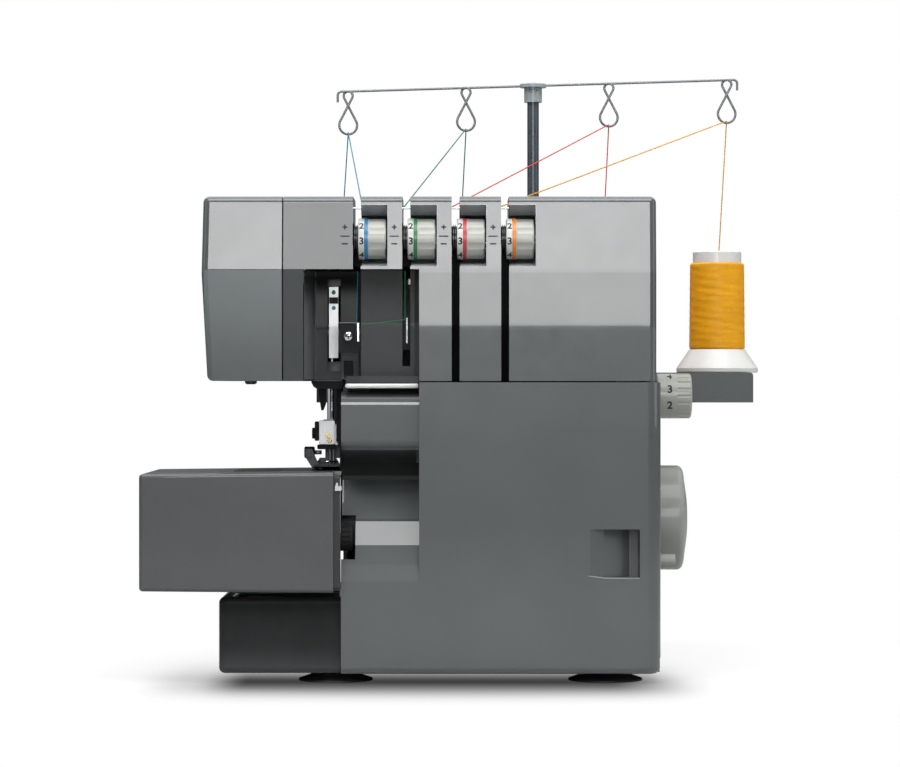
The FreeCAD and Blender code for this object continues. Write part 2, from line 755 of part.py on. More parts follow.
def make_upper_cover():
    """Upper casing: folded front, four thread slots, dial hollows and the threading window."""
    rear_edge = [(ridge_back, d.head_top), (ridge_back, head_bottom)]
    leaning = head_outline(as_size(0)) + rear_edge
    upright = [(front, head_bottom)] + leaning[1:]
    block = fuse(
        "upper_block",
        extrude("upper_left", "YZ", leaning, d.end_seam, d.scoop_right - d.end_seam),
        extrude("upper_right", "YZ", upright, d.scoop_right, d.upper_right - d.scoop_right),
    )
    top_edges = either(
        straight("X", z=d.head_top),
        straight("Y", x=d.upper_right, z=d.head_top),
        lambda edge: edge.CenterOfMass.x > d.upper_right.value - 0.1
        and edge.CenterOfMass.y < front.value + 10
        and edge.CenterOfMass.z > head_bottom.value + 5,
    )
    skin = rounded("upper_rounded", block, d.edge_round, top_edges)
    inner_back = ridge_back - d.wall
    room = head_outline(d.wall) + [
        (inner_back, d.head_top - d.wall), (inner_back, d.step_z - d.wall), (
            ridge_back + 1, d.step_z - d.wall
        ),
        (ridge_back + 1, head_bottom - 1), (front + d.lower_lean + d.wall, head_bottom - 1),
    ]
    hollow = extrude("upper_hollow", "YZ", room, d.end_seam - 1, d.upper_right - d.wall - d.end_seam + 1)
    shell = cut("upper_shell", skin, hollow)
    web_front, web_back = front + d.web_set, front + d.web_set + d.wall
    right_inner = d.upper_right - d.wall
    web_left = slot_centres[0] - half_slot - d.wall
    added = [
        box("web_high", (web_left, right_inner), (web_front, web_back), (d.crease_z + d.wall, d.web_top)),
        box("web_low", (d.scoop_right, right_inner), (web_front, web_back), (head_bottom, d.web_top)),
    ]
    voids = []
    for n, (x, floor) in enumerate(zip(slot_centres, slot_floors)):
        left, right = x - half_slot, x + half_slot
        added.append(
            box(
                f"channel_{n}", (left - d.wall, right + d.wall), (front + d.upper_lean + 4, ridge_back),
                (d.web_top - d.wall, d.head_top - d.wall),
            )
        )
        added.append(
            box(f"slot_wall_{n}", (left - d.wall, left), (front + d.upper_lean, web_back), (floor, d.web_top))
        )
        added.append(dial_room(f"dial_wall_{n}", right, d.recess_wide - half_slot + d.wall, d.wall))
        voids.append(dial_room(f"dial_void_{n}", x, d.recess_wide, as_size(0)))
        voids.append(
            box(f"slot_front_{n}", (left, right), (front - 2, web_front), (floor - 1, d.head_top + 1))
        )
        voids.append(
            box(f"slot_top_{n}", (left, right), (front - 2, ridge_back + 1), (d.web_top, d.head_top + 1))
        )
    for n in (2, 3):
        right = slot_centres[n] + half_slot
        added.append(
            box(
                f"slot_side_{n}", (right, right + d.wall), (front + d.lower_lean, web_back),
                (head_bottom, d.recess_low),
            )
        )
    window = box(
        "window", (d.window_left, d.scoop_right), (
            front - 2, front + d.web_set - 2
        ), (head_bottom - 1, d.crease_z)
    )
    keep(cut("upper_cover", fuse("upper_added", shell, *added), window, *voids), "upper_cover")


def make_end_cover():
    """Left end of the head: a cap with the same section and a bulging side."""
    right = d.end_seam - d.panel_gap

    def section(inset):
        return head_outline(inset) + [
            (ridge_back - inset, d.head_top - inset), (ridge_back - inset, d.step_z - inset),
            (back - inset, d.step_z - inset), (back - inset, head_bottom + inset),
            (front + d.lower_lean + inset, head_bottom + inset),
        ]

    def profile(inset):
        return section(inset)[1:]

    outer = extrude("end_block", "YZ", profile(as_size(0)), d.head_left, right - d.head_left)
    bulge = [
        (d.head_left + 3.4, head_bottom), (right, head_bottom), (right, d.head_top), (d.head_left + 0.9, d.head_top),
        (d.head_left, d.crease_z - 3),
    ]
    side = extrude("end_side", "XZ", bulge, front - 1, back - front + 2)
    block = common("end_shape", outer, side)

    def outer_edge(edge):
        middle = edge.CenterOfMass
        on_left = middle.x < d.head_left.value + 3.6
        on_top = abs(middle.z - d.head_top.value) < 0.1 and middle.y < front.value + 8
        on_back = abs(middle.y - back.value) < 0.1 and on_left
        along_side = on_left and middle.z < d.crease_z.value - 1 and middle.y > front.value + 10
        return (on_left and not (along_side and not on_back and middle.z > head_bottom.value + 1)) or on_top

    skin = rounded("end_rounded", block, d.edge_round, outer_edge)
    hollow = extrude("end_hollow", "YZ", profile(d.wall), d.head_left + 6, right - d.head_left)
    screw_hole = rod("end_screw_hole", "Z", (d.end_seam - 20, front + 12, head_bottom - 1), d.wall + 2, 1.8)
    keep(cut("end_cover", skin, hollow, screw_hole), "end_cover")


throat_deep = 27
throat_shallow = 9
throat_lean = 2.5


def make_threading_panel():
    """Back of the threading window: deep throat on the left, raised panel and rounded lower lip."""
    left, right = d.window_left + d.slide_gap, d.scoop_right - d.slide_gap
    throat_left, throat_right = left + 6, slot_centres[0]
    deep, shallow, skin = front + throat_deep, front + throat_shallow, d.wall
    plan = [
        (left, front + 4), (throat_left, deep), (throat_right, deep), (throat_right + throat_lean, shallow),
        (right - 2.5, shallow), (right, front + 4), (right, front + 4 + skin), (right - 2, shallow + skin),
        (throat_right + 4.5, shallow + skin), (
            throat_right + 2.5, deep + skin
        ), (throat_left - 2, deep + skin),
        (left, front + 12),
    ]
    low, high = head_bottom + 1, d.crease_z - d.slide_gap
    wall = extrude("throat_wall", "XY", plan, low, high - low)
    lip_left = d.seam_x + 3
    lip = [
        (front + 3, low + 2), (front + 3, low - 0.5, QUARTER), (front + 7, head_bottom - 4.3),
        (shallow + skin, head_bottom - 4.3), (shallow + skin, low + 2),
    ]
    lower_lip = extrude("lower_lip", "YZ", lip, lip_left, right - lip_left)
    lever_slot = box(
        "lever_slot", (d.needle_x - 1.6, d.needle_x + 6.4), (deep - 1, deep + skin + 1), (low + 5, high - 4)
    )
    thread_slot = box(
        "panel_slot", (slot_centres[1] - half_slot, slot_centres[1] + half_slot),
        (shallow - 1, shallow + skin + 1), (low + 8, high + 1),
    )
    keep(cut("threading", fuse("panel_wall", wall, lower_lip), lever_slot, thread_slot), "threading_panel")


def make_head_plate():
    """Underside of the head round the needle bar."""
    left, right = d.end_seam + d.slide_gap, d.seam_x - d.slide_gap
    plate = box(
        "head_plate_block", (left, right), (
            front + throat_deep + d.wall + d.slide_gap, ridge_back + d.slide_gap
        ),
        (head_bottom, head_bottom + d.wall),
    )
    needle_hole = rod(
        "needle_hole", "Z", (d.needle_x, needle_y, head_bottom - 1), d.wall + 2, d.needle_bar_r + d.slide_gap
    )
    knife_hole = rod("knife_hole", "Z", (*knife_axis, head_bottom - 1), d.wall + 2, knife_bar_r + d.slide_gap)
    keep(cut("head_underside", plate, needle_hole, knife_hole), "head_plate")


knife_axis = (d.needle_x + 5.1, needle_y - 10)
knife_bar_r = 1.9


def make_frame():
    """Cast frame: floor, two bearing walls, arm and the needle bar bearings."""
    far = back - d.wall - 6
    low = plate_high
    floor_top = low + d.frame_wall
    arm_front = far - d.frame_wall
    bearing_front = needle_y - 14
    bearings = [(head_bottom + 6, 6), (d.crease_z - 9, 8)]
    left_wall, right_wall = d.frame_left, d.frame_right - d.frame_wall
    pieces = [
        box("frame_floor", (d.frame_left, d.frame_right), (d.frame_front, far), (low, floor_top)),
        box(
            "frame_wall_left", (left_wall, left_wall + d.frame_wall), (d.frame_front, far), (low, d.frame_top)
        ),
        box("frame_wall_right", (right_wall, d.frame_right), (d.frame_front, far), (low, d.frame_top)),
        box(
            "frame_arm", (d.end_seam + 4, d.frame_right), (arm_front, far), (head_bottom + 6, d.step_z - 28)
        ),
        box("frame_post", (left_wall, d.frame_right), (arm_front, far), (low, head_bottom + 7)),
        box(
            "take_up_ear", (d.needle_x - 10, d.needle_x - 7), (take_up_y - 5, needle_y - 4),
            (head_bottom + 6, d.crease_z - 9),
        ),
    ]
    for n, (z, tall) in enumerate(bearings):
        pieces.append(
            box(f"bearing_{n}", (d.needle_x - 10, d.needle_x + 10), (bearing_front, far), (z, z + tall))
        )
    bar_low, bar_long = head_bottom, d.crease_z - head_bottom + 10
    lifter_y = presser_y + 16
    holes = [
        box(
            "frame_lifter_slot", (d.needle_x - 4, d.needle_x + 4), (lifter_y - 8, lifter_y + 26),
            (head_bottom + 5, head_bottom + 13),
        ),
        rod("frame_needle_bore", "Z", (d.needle_x, needle_y, bar_low), bar_long, d.needle_bar_r + d.bore_gap),
        rod(
            "frame_presser_bore", "Z", (
                d.needle_x, presser_y, bar_low
            ), bar_long, d.presser_bar_r + d.bore_gap
        ),
        rod("frame_knife_bore", "Z", (*knife_axis, bar_low), bar_long, knife_bar_r + d.bore_gap),
        rod(
            "frame_shaft_bore", "X", (d.frame_left - 1, shaft_y, d.shaft_z), d.frame_right - d.frame_left + 2,
            d.shaft_r + bush_wall,
        ),
        rod(
            "frame_motor_bore", "X", (
                right_wall - 1, d.motor_y, d.motor_z
            ), d.frame_wall + 2, motor_shaft_r + 1
        ),
        rod(
            "frame_take_up_bore", "X", (
                d.needle_x - 11, take_up_y, take_up_z
            ), as_size(5), take_up_pin_r + d.bore_gap
        ),
    ]
    keep(cut("main_frame", fuse("frame_pieces", *pieces), *holes), "main_frame")
    bushes = [
        cut(
            f"shaft_bush_{n}",
            rod(f"shaft_bush_body_{n}", "X", (x, shaft_y, d.shaft_z), d.frame_wall, d.shaft_r + bush_wall),
            rod(
                f"shaft_bush_bore_{n}", "X", (x - 1, shaft_y, d.shaft_z), d.frame_wall + 2, d.shaft_r + d.bore_gap
            ),
        )
        for n, x in enumerate((left_wall, right_wall))
    ]
    keep(group("shaft_bushes", bushes), "shaft_bushes")


bush_wall = 3
motor_shaft_r = 3
take_up_y = needle_y - 14
take_up_z = head_bottom + 30
take_up_pin_r = 2


def belt_loop(grow):
    """Face inside an open belt that runs round both pulleys, larger by grow."""
    large, small = FreeCAD.Vector(0, shaft_y.value, d.shaft_z.value), FreeCAD.Vector(
        0, d.motor_y.value, d.motor_z.value
    )
    large_r = d.pulley_r.value - groove_depth + grow
    small_r = d.motor_pulley_r.value - groove_depth + grow
    span = small - large
    along = span / span.Length
    across = FreeCAD.Vector(1, 0, 0).cross(along)
    lean = (large_r - small_r) / span.Length
    rise = math.sqrt(1 - lean * lean)
    sides = [along * lean + across * rise * sign for sign in (1, -1)]
    corners = [large + sides[0] * large_r, small + sides[0] * small_r]
    corners += [small + sides[1] * small_r, large + sides[1] * large_r]
    edges = [
        Part.LineSegment(corners[0], corners[1]),
        Part.Arc(corners[1], small + along * small_r, corners[2]),
        Part.LineSegment(corners[2], corners[3]),
        Part.Arc(corners[3], large - along * large_r, corners[0]),
    ]
    return Part.Face(Part.Wire([edge.toShape() for edge in edges]))


groove_depth = 2.6


def make_drive():
    """Motor, belt, pulleys, main shaft and handwheel."""
    motor_right = d.frame_right - d.frame_wall
    motor_long = 62
    motor = [
        (motor_shaft_r + d.bore_gap, 0), (d.motor_r - 6, 0), (d.motor_r, 6), (d.motor_r, motor_long - 8),
        (d.motor_r - 3, motor_long - 8), (d.motor_r - 3, motor_long), (
            motor_shaft_r + d.bore_gap, motor_long
        ),
    ]
    keep(revolve("motor", motor, "X", (motor_right - motor_long, d.motor_y, d.motor_z)), "motor")

    def pulley(name, radius, bore, y, z):
        groove = radius - groove_depth
        outline = [
            (bore, 0), (radius, 0), (radius, 1.4), (groove, 2), (groove, d.pulley_wide - 2),
            (radius, d.pulley_wide - 1.4), (radius, d.pulley_wide), (bore, d.pulley_wide),
        ]
        return revolve(name, outline, "X", (d.pulley_left, y, z))

    keep(
        pulley("shaft_pulley", d.pulley_r, d.shaft_r + d.bore_gap, shaft_y, d.shaft_z), "shaft_pulley"
    )
    small = pulley("small_pulley", d.motor_pulley_r, 0, d.motor_y, d.motor_z)
    spindle_left = motor_right - motor_long + 4
    spindle = rod(
        "motor_spindle", "X", (spindle_left, d.motor_y, d.motor_z), d.pulley_left + 1 - spindle_left, motor_shaft_r
    )
    keep(fuse("motor_pulley", small, spindle), "motor_pulley")
    belt_gap = 0.3
    length = FreeCAD.Vector(d.pulley_wide.value - 4.6, 0, 0)
    belt = belt_loop(belt_gap + d.belt_thick.value).extrude(length).cut(belt_loop(belt_gap).extrude(length))
    loop = solid("belt", belt)
    loop.Placement = FreeCAD.Placement(vector((d.pulley_left + 2.3, 0, 0)), FreeCAD.Rotation())
    keep(loop, "drive_belt")
    wheel_left = d.base_right + 1
    shaft_left = d.frame_left - 8
    shaft = rod(
        "shaft_bar", "X", (shaft_left, shaft_y, d.shaft_z), wheel_left + d.wheel_wide - 4 - shaft_left, d.shaft_r
    )
    crank = rod("shaft_crank", "X", (shaft_left, shaft_y, d.shaft_z), as_size(6), d.shaft_r + 2.5)
    keep(fuse("main_shaft", shaft, crank), "main_shaft")
    wide = d.wheel_wide
    wheel = [
        (d.shaft_r + d.bore_gap, 0), (d.shaft_r + 4, 0), (d.shaft_r + 4, 8), (d.wheel_r - 4, 8), (d.wheel_r - 4, 0),
        (d.wheel_r - 1, 0, QUARTER), (d.wheel_r, 1), (d.wheel_r, wide - 7, QUARTER), (d.wheel_r - 4, wide - 3),
        (d.shaft_r + 9, wide - 0.8), (0, wide), (0, wide - 4 + d.bore_gap),
        (d.shaft_r + d.bore_gap, wide - 4 + d.bore_gap),
    ]
    keep(revolve("handwheel", wheel, "X", (wheel_left, shaft_y, d.shaft_z)), "handwheel")


def make_controls():
    """Stitch length dial, differential feed lever, power switch and power inlet on the right side."""
    right = d.base_right
    dial_y, dial_z, dial_r = front + d.length_dial_set, d.length_dial_z, d.length_dial_r
    long = d.length_dial_long
    outline = [
        (0, -6), (4, -6), (4, d.slide_gap), (dial_r - 1, d.slide_gap, QUARTER), (dial_r, d.slide_gap + 1),
        (dial_r, long - 2, QUARTER), (dial_r - 2, long), (0, long),
    ]
    turned = revolve("length_knob", outline, "X", (right, dial_y, dial_z))
    ribs = 20
    grip = []
    for n in range(ribs):
        angle = 2 * math.pi * n / ribs
        y = dial_y + (dial_r + 0.5) * math.cos(angle)
        z = dial_z + (dial_r + 0.5) * math.sin(angle)
        grip.append(rod(f"length_grip_{n}", "X", (right + long - 9, y, z), as_size(10), as_size(1.1)))
    keep(cut("length_dial", turned, *grip), "stitch_length_dial")
    lever_z, pivot_y = d.feed_lever_z, front + d.feed_lever_set + d.feed_lever_reach
    knob_y = front + d.feed_lever_set
    arm_left = right + d.slide_gap
    arm = extrude(
        "feed_arm", "YZ",
        [
            (knob_y, lever_z - 3), (pivot_y, lever_z - 4, QUARTER), (pivot_y + 4, lever_z, QUARTER),
            (pivot_y, lever_z + 4), (knob_y, lever_z + 3),
        ],
        arm_left, as_size(3),
    )
    knob = extrude(
        "feed_knob", "YZ",
        [
            (knob_y - 4.2, lever_z, QUARTER), (
                knob_y, lever_z - 4.2, QUARTER
            ), (knob_y + 4.2, lever_z, QUARTER),
            (knob_y, lever_z + 4.2, QUARTER),
        ],
        arm_left, as_size(10),
    )
    spindle = rod("feed_spindle", "X", (right - 6, pivot_y, lever_z), as_size(6.5), as_size(3))
    keep(fuse("feed_lever", arm, knob, spindle), "differential_lever")
    switch_y, z, inlet_z = front + d.switch_set, d.switch_z, d.inlet_z
    frame = cut(
        "switch_frame",
        box("switch_block", (right - 16, right + 1), (switch_y - 7.8, switch_y + 7.8), (z - 10.8, z + 10.8)),
        box("switch_room", (right - 13, right + 2), (switch_y - 6, switch_y + 6), (z - 9, z + 9)),
    )
    rocker = extrude(
        "rocker", "XZ",
        [
            (right - 7, z - 2), (right + 0.5, z - 7.8), (right + 2.5, z - 7.8), (right + 1, z), (right + 2.5, z + 7.8),
            (right + 0.5, z + 7.8), (right - 7, z + 2),
        ],
        switch_y - 5.6, as_size(11.2),
    )
    keep(rocker, "power_switch")
    inlet = cut(
        "inlet_body",
        box(
            "inlet_block", (right - 18, right + 1), (
                switch_y - 9.8, switch_y + 9.8
            ), (inlet_z - 7.8, inlet_z + 7.8)
        ),
        box("inlet_room", (right - 15, right + 2), (switch_y - 8, switch_y + 8), (inlet_z - 6, inlet_z + 6)),
    )
    pins = [
        rod(f"inlet_pin_{n}", "X", (right - 16, switch_y + offset, inlet_z), as_size(11), as_size(1.2))
        for n, offset in enumerate((-4, 4))
    ]
    keep(group("power_fittings_group", [frame, fuse("inlet", inlet, *pins)]), "power_fittings")


def make_free_arm():
    """Free arm: a trough that carries the stitch mechanism, with bed plate and needle plate on top."""
    skin = 2
    trough_top = d.bed_z - d.plate_thick
    neck = d.seam_x - 1

    def plan(inset):
        return [
            (d.arm_left + inset, d.arm_front + inset), (neck - inset, d.arm_front + inset),
            (neck - inset, d.arm_neck_front + inset), (d.frame_left + inset, d.arm_neck_front + inset),
            (d.frame_left + inset, d.arm_back - inset), (d.arm_left + inset, d.arm_back - inset),
        ]

    outer = extrude("arm_block", "XY", plan(as_size(0)), d.arm_low, trough_top - d.arm_low)
    room = extrude("arm_room", "XY", plan(as_size(skin)), d.arm_low + skin, trough_top - d.arm_low)
    open_end = box(
        "arm_end", (d.frame_left - skin - 1, d.frame_left + 1), (d.arm_neck_front + skin, d.arm_back - skin),
        (d.arm_low + skin, trough_top + 1),
    )
    shaft_room = rod(
        "arm_shaft_room", "X", (d.frame_left - 12, shaft_y, d.shaft_z), as_size(14), d.shaft_r + 4
    )
    plate_left = d.needle_x - 30.6
    bed = box("bed", (d.arm_left, plate_left - 0.3), (d.arm_front, d.arm_back), (trough_top, d.bed_z))
    trough = cut("arm_trough", outer, room, open_end, shaft_room)
    keep(fuse("free_arm_whole", trough, bed), "free_arm")
    plate_right = d.seam_x - 0.6
    plate = box("plate_block", (plate_left, plate_right), (d.arm_front, d.arm_back), (trough_top, d.bed_z))
    needle_slot = box(
        "needle_slot", (d.needle_x - 3, d.needle_x + 2.4), (
            needle_y - 1.6, needle_y + 1.6
        ), (trough_top - 1, d.bed_z + 1)
    )
    feed_slots = [
        box(
            f"feed_slot_{n}", (x, x + feed_wide + 0.8), (needle_y - feed_half - 4, needle_y + feed_half + 4),
            (trough_top - 1, d.bed_z + 1),
        )
        for n, x in enumerate(feed_lefts)
    ]
    knife_slot = box(
        "knife_slot", (knife_axis[0], plate_right + 1), (knife_axis[1] - 6, knife_axis[1] + 12),
        (trough_top - 1, d.bed_z + 1),
    )
    keep(cut("needle_plate", plate, needle_slot, knife_slot, *feed_slots), "needle_plate")


feed_wide = 2.6
feed_half = 12
feed_lefts = [d.needle_x - 8.4, d.needle_x - 12.6]


def make_feed():
    """Feed dogs: two toothed bars on a carriage under the needle plate."""
    teeth_pitch, tooth = 2, 0.9
    top = d.bed_z - 0.6
    count = int(2 * feed_half / teeth_pitch)
    profile = [(needle_y - feed_half, top - 6)]
    for n in range(count):
        profile.append((needle_y - feed_half + n * teeth_pitch, top - tooth))
        profile.append((needle_y - feed_half + (n + 1) * teeth_pitch - 0.2, top))
    profile += [(needle_y + feed_half, top - tooth), (needle_y + feed_half, top - 6)]
    bars = [
        extrude(f"feed_bar_{n}", "YZ", profile, x + 0.4, as_size(feed_wide)) for n, x in enumerate(feed_lefts)
    ]
    carriage = box(
        "feed_carriage", (feed_lefts[1] + 0.4, feed_lefts[0] + 0.4 + feed_wide),
        (needle_y - feed_half, needle_y - feed_half + 5), (d.arm_low + 2 + d.slide_gap, top - 5),
    )
    keep(fuse("feed_dogs", carriage, *bars), "feed_dogs")


def make_needle_group():
    """Needle bar, needle clamp with its two screws, and the two needles."""
    clamp_top = d.clamp_low + d.clamp_tall
    bar_top = d.crease_z + 1
    bar = rod("bar_rod", "Z", (d.needle_x, needle_y, clamp_top), bar_top - clamp_top, d.needle_bar_r)
    keep(bar, "needle_bar")
    half, deep = d.clamp_wide / 2, d.clamp_deep / 2
    collar_tall = 3
    clamp = box(
        "clamp_block", (d.needle_x - half, d.needle_x + half), (needle_y - deep, needle_y + deep),
        (d.clamp_low, clamp_top - collar_tall),
    )
    eased = rounded("clamp_eased", clamp, as_size(1.2), straight("Z"))
    collar = rod(
        "clamp_collar", "Z", (d.needle_x, needle_y, clamp_top - collar_tall), as_size(collar_tall), half + 0.6
    )
    offsets = (-d.needle_gap / 2, d.needle_gap / 2)
    bores = [
        rod(
            f"needle_bore_{n}", "Z", (d.needle_x + offset, needle_y, d.clamp_low - 1), as_size(11),
            shank_r + d.bore_gap,
        )
        for n, offset in enumerate(offsets)
    ]
    screws = [
        rod(
            f"clamp_screw_{n}", "Y", (
                d.needle_x + offset, needle_y - deep - 1.8, d.clamp_low + rise
            ), as_size(2.2),
            as_size(1.7),
        )
        for n, (offset, rise) in enumerate(((-0.9, 7), (0.9, 2.6)))
    ]
    keep(cut("clamp", fuse("clamp_whole", eased, collar, *screws), *bores), "needle_clamp")
    needles = []
    for n, offset in enumerate(offsets):
        low = d.needle_tip
        outline = [
            (0, low), (d.needle_r, low + 4), (d.needle_r, d.clamp_low - 4), (shank_r, d.clamp_low - 2),
            (shank_r, d.clamp_low + 9.5), (0, d.clamp_low + 9.5),
        ]
        needles.append(revolve(f"needle_{n}", outline, "Z", (d.needle_x + offset, needle_y, 0)))
    keep(group("needles", needles), "needles")


shank_r = 0.95


def make_presser():
    """Presser bar with its foot, and the lifter behind the head."""
    holder_low = d.bed_z + 13
    bar_top = d.crease_z + 4
    bar = rod("presser_rod", "Z", (d.needle_x, presser_y, holder_low), bar_top - holder_low, d.presser_bar_r)
    keep(bar, "presser_bar")
    half = d.foot_wide / 2
    low = d.bed_z + 0.1
    centre_x = d.needle_x - 3
    toe = needle_y - 14
    heel = toe + d.foot_long
    sole = extrude(
        "foot_sole", "YZ",
        [
            (toe, low + 2.2), (toe + 3, low), (heel, low), (heel, low + 2), (toe + 6, low + 2), (toe + 0.5, low + 3.6)
        ],
        centre_x - half, d.foot_wide,
    )
    bridge = extrude(
        "foot_bridge", "XZ",
        [
            (centre_x - half, low + 2), (centre_x + half, low + 2), (centre_x + half - 3, low + 7),
            (centre_x - half + 3, low + 7),
        ],
        presser_y - 5, as_size(10),
    )
    holder = box(
        "foot_holder", (d.needle_x - 4.5, d.needle_x + 4.5), (presser_y - 4.5, presser_y + 4.5),
        (low + 6.9, holder_low + 9),
    )
    socket = rod(
        "foot_socket", "Z", (d.needle_x, presser_y, holder_low), as_size(20), d.presser_bar_r + d.bore_gap
    )
    slot = box(
        "foot_slot", (d.needle_x - 2.8, d.needle_x + 2.2), (needle_y - 5, needle_y + 4), (low - 1, low + 5)
    )
    guide = extrude(
        "foot_guide", "XZ",
        [
            (centre_x - half, low), (centre_x - half + 3, low), (centre_x - half + 3, low + 4),
            (centre_x - half - 1, low + 13), (centre_x - half - 5, low + 13), (centre_x - half - 5, low + 8),
        ],
        toe + 4, as_size(2.5),
    )
    thumb = rod(
        "foot_thumb", "Y", (centre_x - half - 2.6, toe + 1, low + 10.2), as_size(6), as_size(2.4)
    )
    whole = fuse("foot_whole", sole, bridge, holder, guide, thumb)
    keep(cut("presser_foot", whole, socket, slot), "presser_foot")
    pivot_y, pivot_z = presser_y + 16, head_bottom + d.lifter_drop
    lifter = extrude(
        "lifter_arm", "YZ",
        [
            (pivot_y - 5, pivot_z, QUARTER), (pivot_y, pivot_z - 5), (pivot_y + 14, pivot_z - 28),
            (pivot_y + 20, pivot_z - 40), (pivot_y + 24, pivot_z - 38), (pivot_y + 19, pivot_z - 24),
            (pivot_y + 5, pivot_z, QUARTER), (pivot_y, pivot_z + 5, QUARTER),
        ],
        d.needle_x - 2.5, as_size(5),
    )
    bore = rod("lifter_bore", "X", (d.needle_x - 4, pivot_y, pivot_z), as_size(8), as_size(2) + d.bore_gap)
    keep(cut("lifter", lifter, bore), "presser_lifter")
    pin = rod("lifter_pin_rod", "X", (d.needle_x - 9, pivot_y, pivot_z), as_size(18), as_size(2))
    ears = [
        box(
            f"lifter_ear_{n}", (x, x + 2), (pivot_y - 4, pivot_y + 4), (head_bottom + 6 + 6, pivot_z + 4)
        )
        for n, x in enumerate((d.needle_x - 6.5, d.needle_x + 4.5))
    ]
    return fuse("lifter_pin", pin, *ears)


def make_knives():
    """Upper knife on its bar, fixed lower knife, and the cutting width knob on its bracket."""
    x, y = knife_axis
    blade_low = d.bed_z - 0.8
    bar_low = d.clamp_low + 2
    bar = rod("knife_rod", "Z", (x, y, bar_low), d.crease_z + 4 - bar_low, as_size(knife_bar_r))
    blade = extrude(
        "knife_blade", "YZ",
        [
            (y - 4, blade_low + 1.2), (y + 8, blade_low), (y + 8, blade_low + 6), (y + 3, bar_low + 14),
            (y - 4, bar_low + 14),
        ],
        x + 0.2, as_size(1.4),
    )
    holder = box("knife_holder", (x - 2, x + 2), (y - 3, y + 3), (bar_low, bar_low + 14))
    keep(fuse("upper_knife", bar, blade, holder), "upper_knife")
    fixed_left = x + 1.7
    fixed = box("fixed_blade", (fixed_left, fixed_left + 1), (y - 1, y + 10), (d.bed_z - 14, d.bed_z - 0.2))
    seat = box(
        "fixed_seat", (fixed_left + 1, fixed_left + 6), (d.arm_neck_front + 2, d.arm_neck_front + 6),
        (d.arm_low + 2, d.bed_z - 6),
    )
    bridge = box(
        "fixed_bridge", (fixed_left, fixed_left + 6), (d.arm_neck_front + 2, y + 4), (d.bed_z - 14, d.bed_z - 9)
    )
    keep(fuse("lower_knife", fixed, seat, bridge), "lower_knife")
    knob_y, knob_z, knob_r = front + 14, d.scoop_low + 26.1, 8.5
    spindle_r = 2.5
    knob_left = d.seam_x - 4.6
    knob = [
        (0, -9), (spindle_r, -9), (spindle_r, 0), (knob_r - 0.8, 0, QUARTER), (knob_r, 0.8),
        (knob_r, 10.5, QUARTER), (knob_r - 1, 11.5), (0, 11.9),
    ]
    turned = revolve("width_knob", knob, "X", (knob_left, knob_y, knob_z))
    flutes = []
    for n in range(16):
        angle = 2 * math.pi * n / 16
        flutes.append(
            rod(
                f"width_flute_{n}", "X",
                (
                    knob_left + 2, knob_y + (knob_r + 0.4) * math.cos(angle), knob_z + (knob_r + 0.4) * math.sin(angle)
                ),
                as_size(8), as_size(0.9),
            )
        )
    keep(cut("cutting_knob", turned, *flutes), "cutting_width_knob")
    bracket_right = knob_left - d.slide_gap
    plate = box(
        "bracket_plate", (bracket_right - 3, bracket_right), (knob_y - 7, d.arm_front), (knob_z - 7, knob_z + 8)
    )
    guard = box(
        "bracket_guard", (bracket_right - 3, bracket_right), (knob_y + 9, d.arm_front), (knob_z, d.bed_z - 4.2)
    )
    hole = rod(
        "bracket_hole", "X", (bracket_right - 4, knob_y, knob_z), as_size(5), spindle_r + d.bore_gap
    )
    keep(cut("knife_bracket", fuse("bracket_whole", plate, guard), hole), "knife_bracket")


def make_loopers():
    """Upper and lower looper on their rocking pins under the needle plate."""
    floor = d.arm_low + 2
    back_wall = d.arm_back - 2
    low_y, low_x, low_z = needle_y + 1.8, d.needle_x - 14, floor + 9
    lower = extrude(
        "lower_hook", "XZ",
        [
            (low_x - 5, low_z, QUARTER), (low_x, low_z - 5, QUARTER), (low_x + 5, low_z), (low_x + 2, low_z + 16),
            (low_x + 14, low_z + 18.5), (low_x + 3, low_z + 21), (low_x - 4, low_z + 18),
        ],
        low_y, as_size(2),
    )
    lower_pin = rod("lower_pin", "Y", (low_x, low_y, low_z), back_wall - low_y, as_size(3))
    keep(fuse("lower_looper", lower, lower_pin), "lower_looper")
    up_y, up_x, up_z = needle_y - 4.4, d.needle_x - 36, floor + 9
    upper = extrude(
        "upper_hook", "XZ",
        [
            (up_x - 5, up_z, QUARTER), (up_x, up_z - 5, QUARTER), (up_x + 5, up_z), (up_x + 5, up_z + 14),
            (up_x + 20, up_z + 18), (up_x + 27, up_z + 24), (up_x + 17, up_z + 20.5), (up_x - 2, up_z + 17),
        ],
        up_y, as_size(2),
    )
    upper_pin = rod("upper_pin", "Y", (up_x, up_y, up_z), back_wall - up_y, as_size(3))
    keep(fuse("upper_looper", upper, upper_pin), "upper_looper")


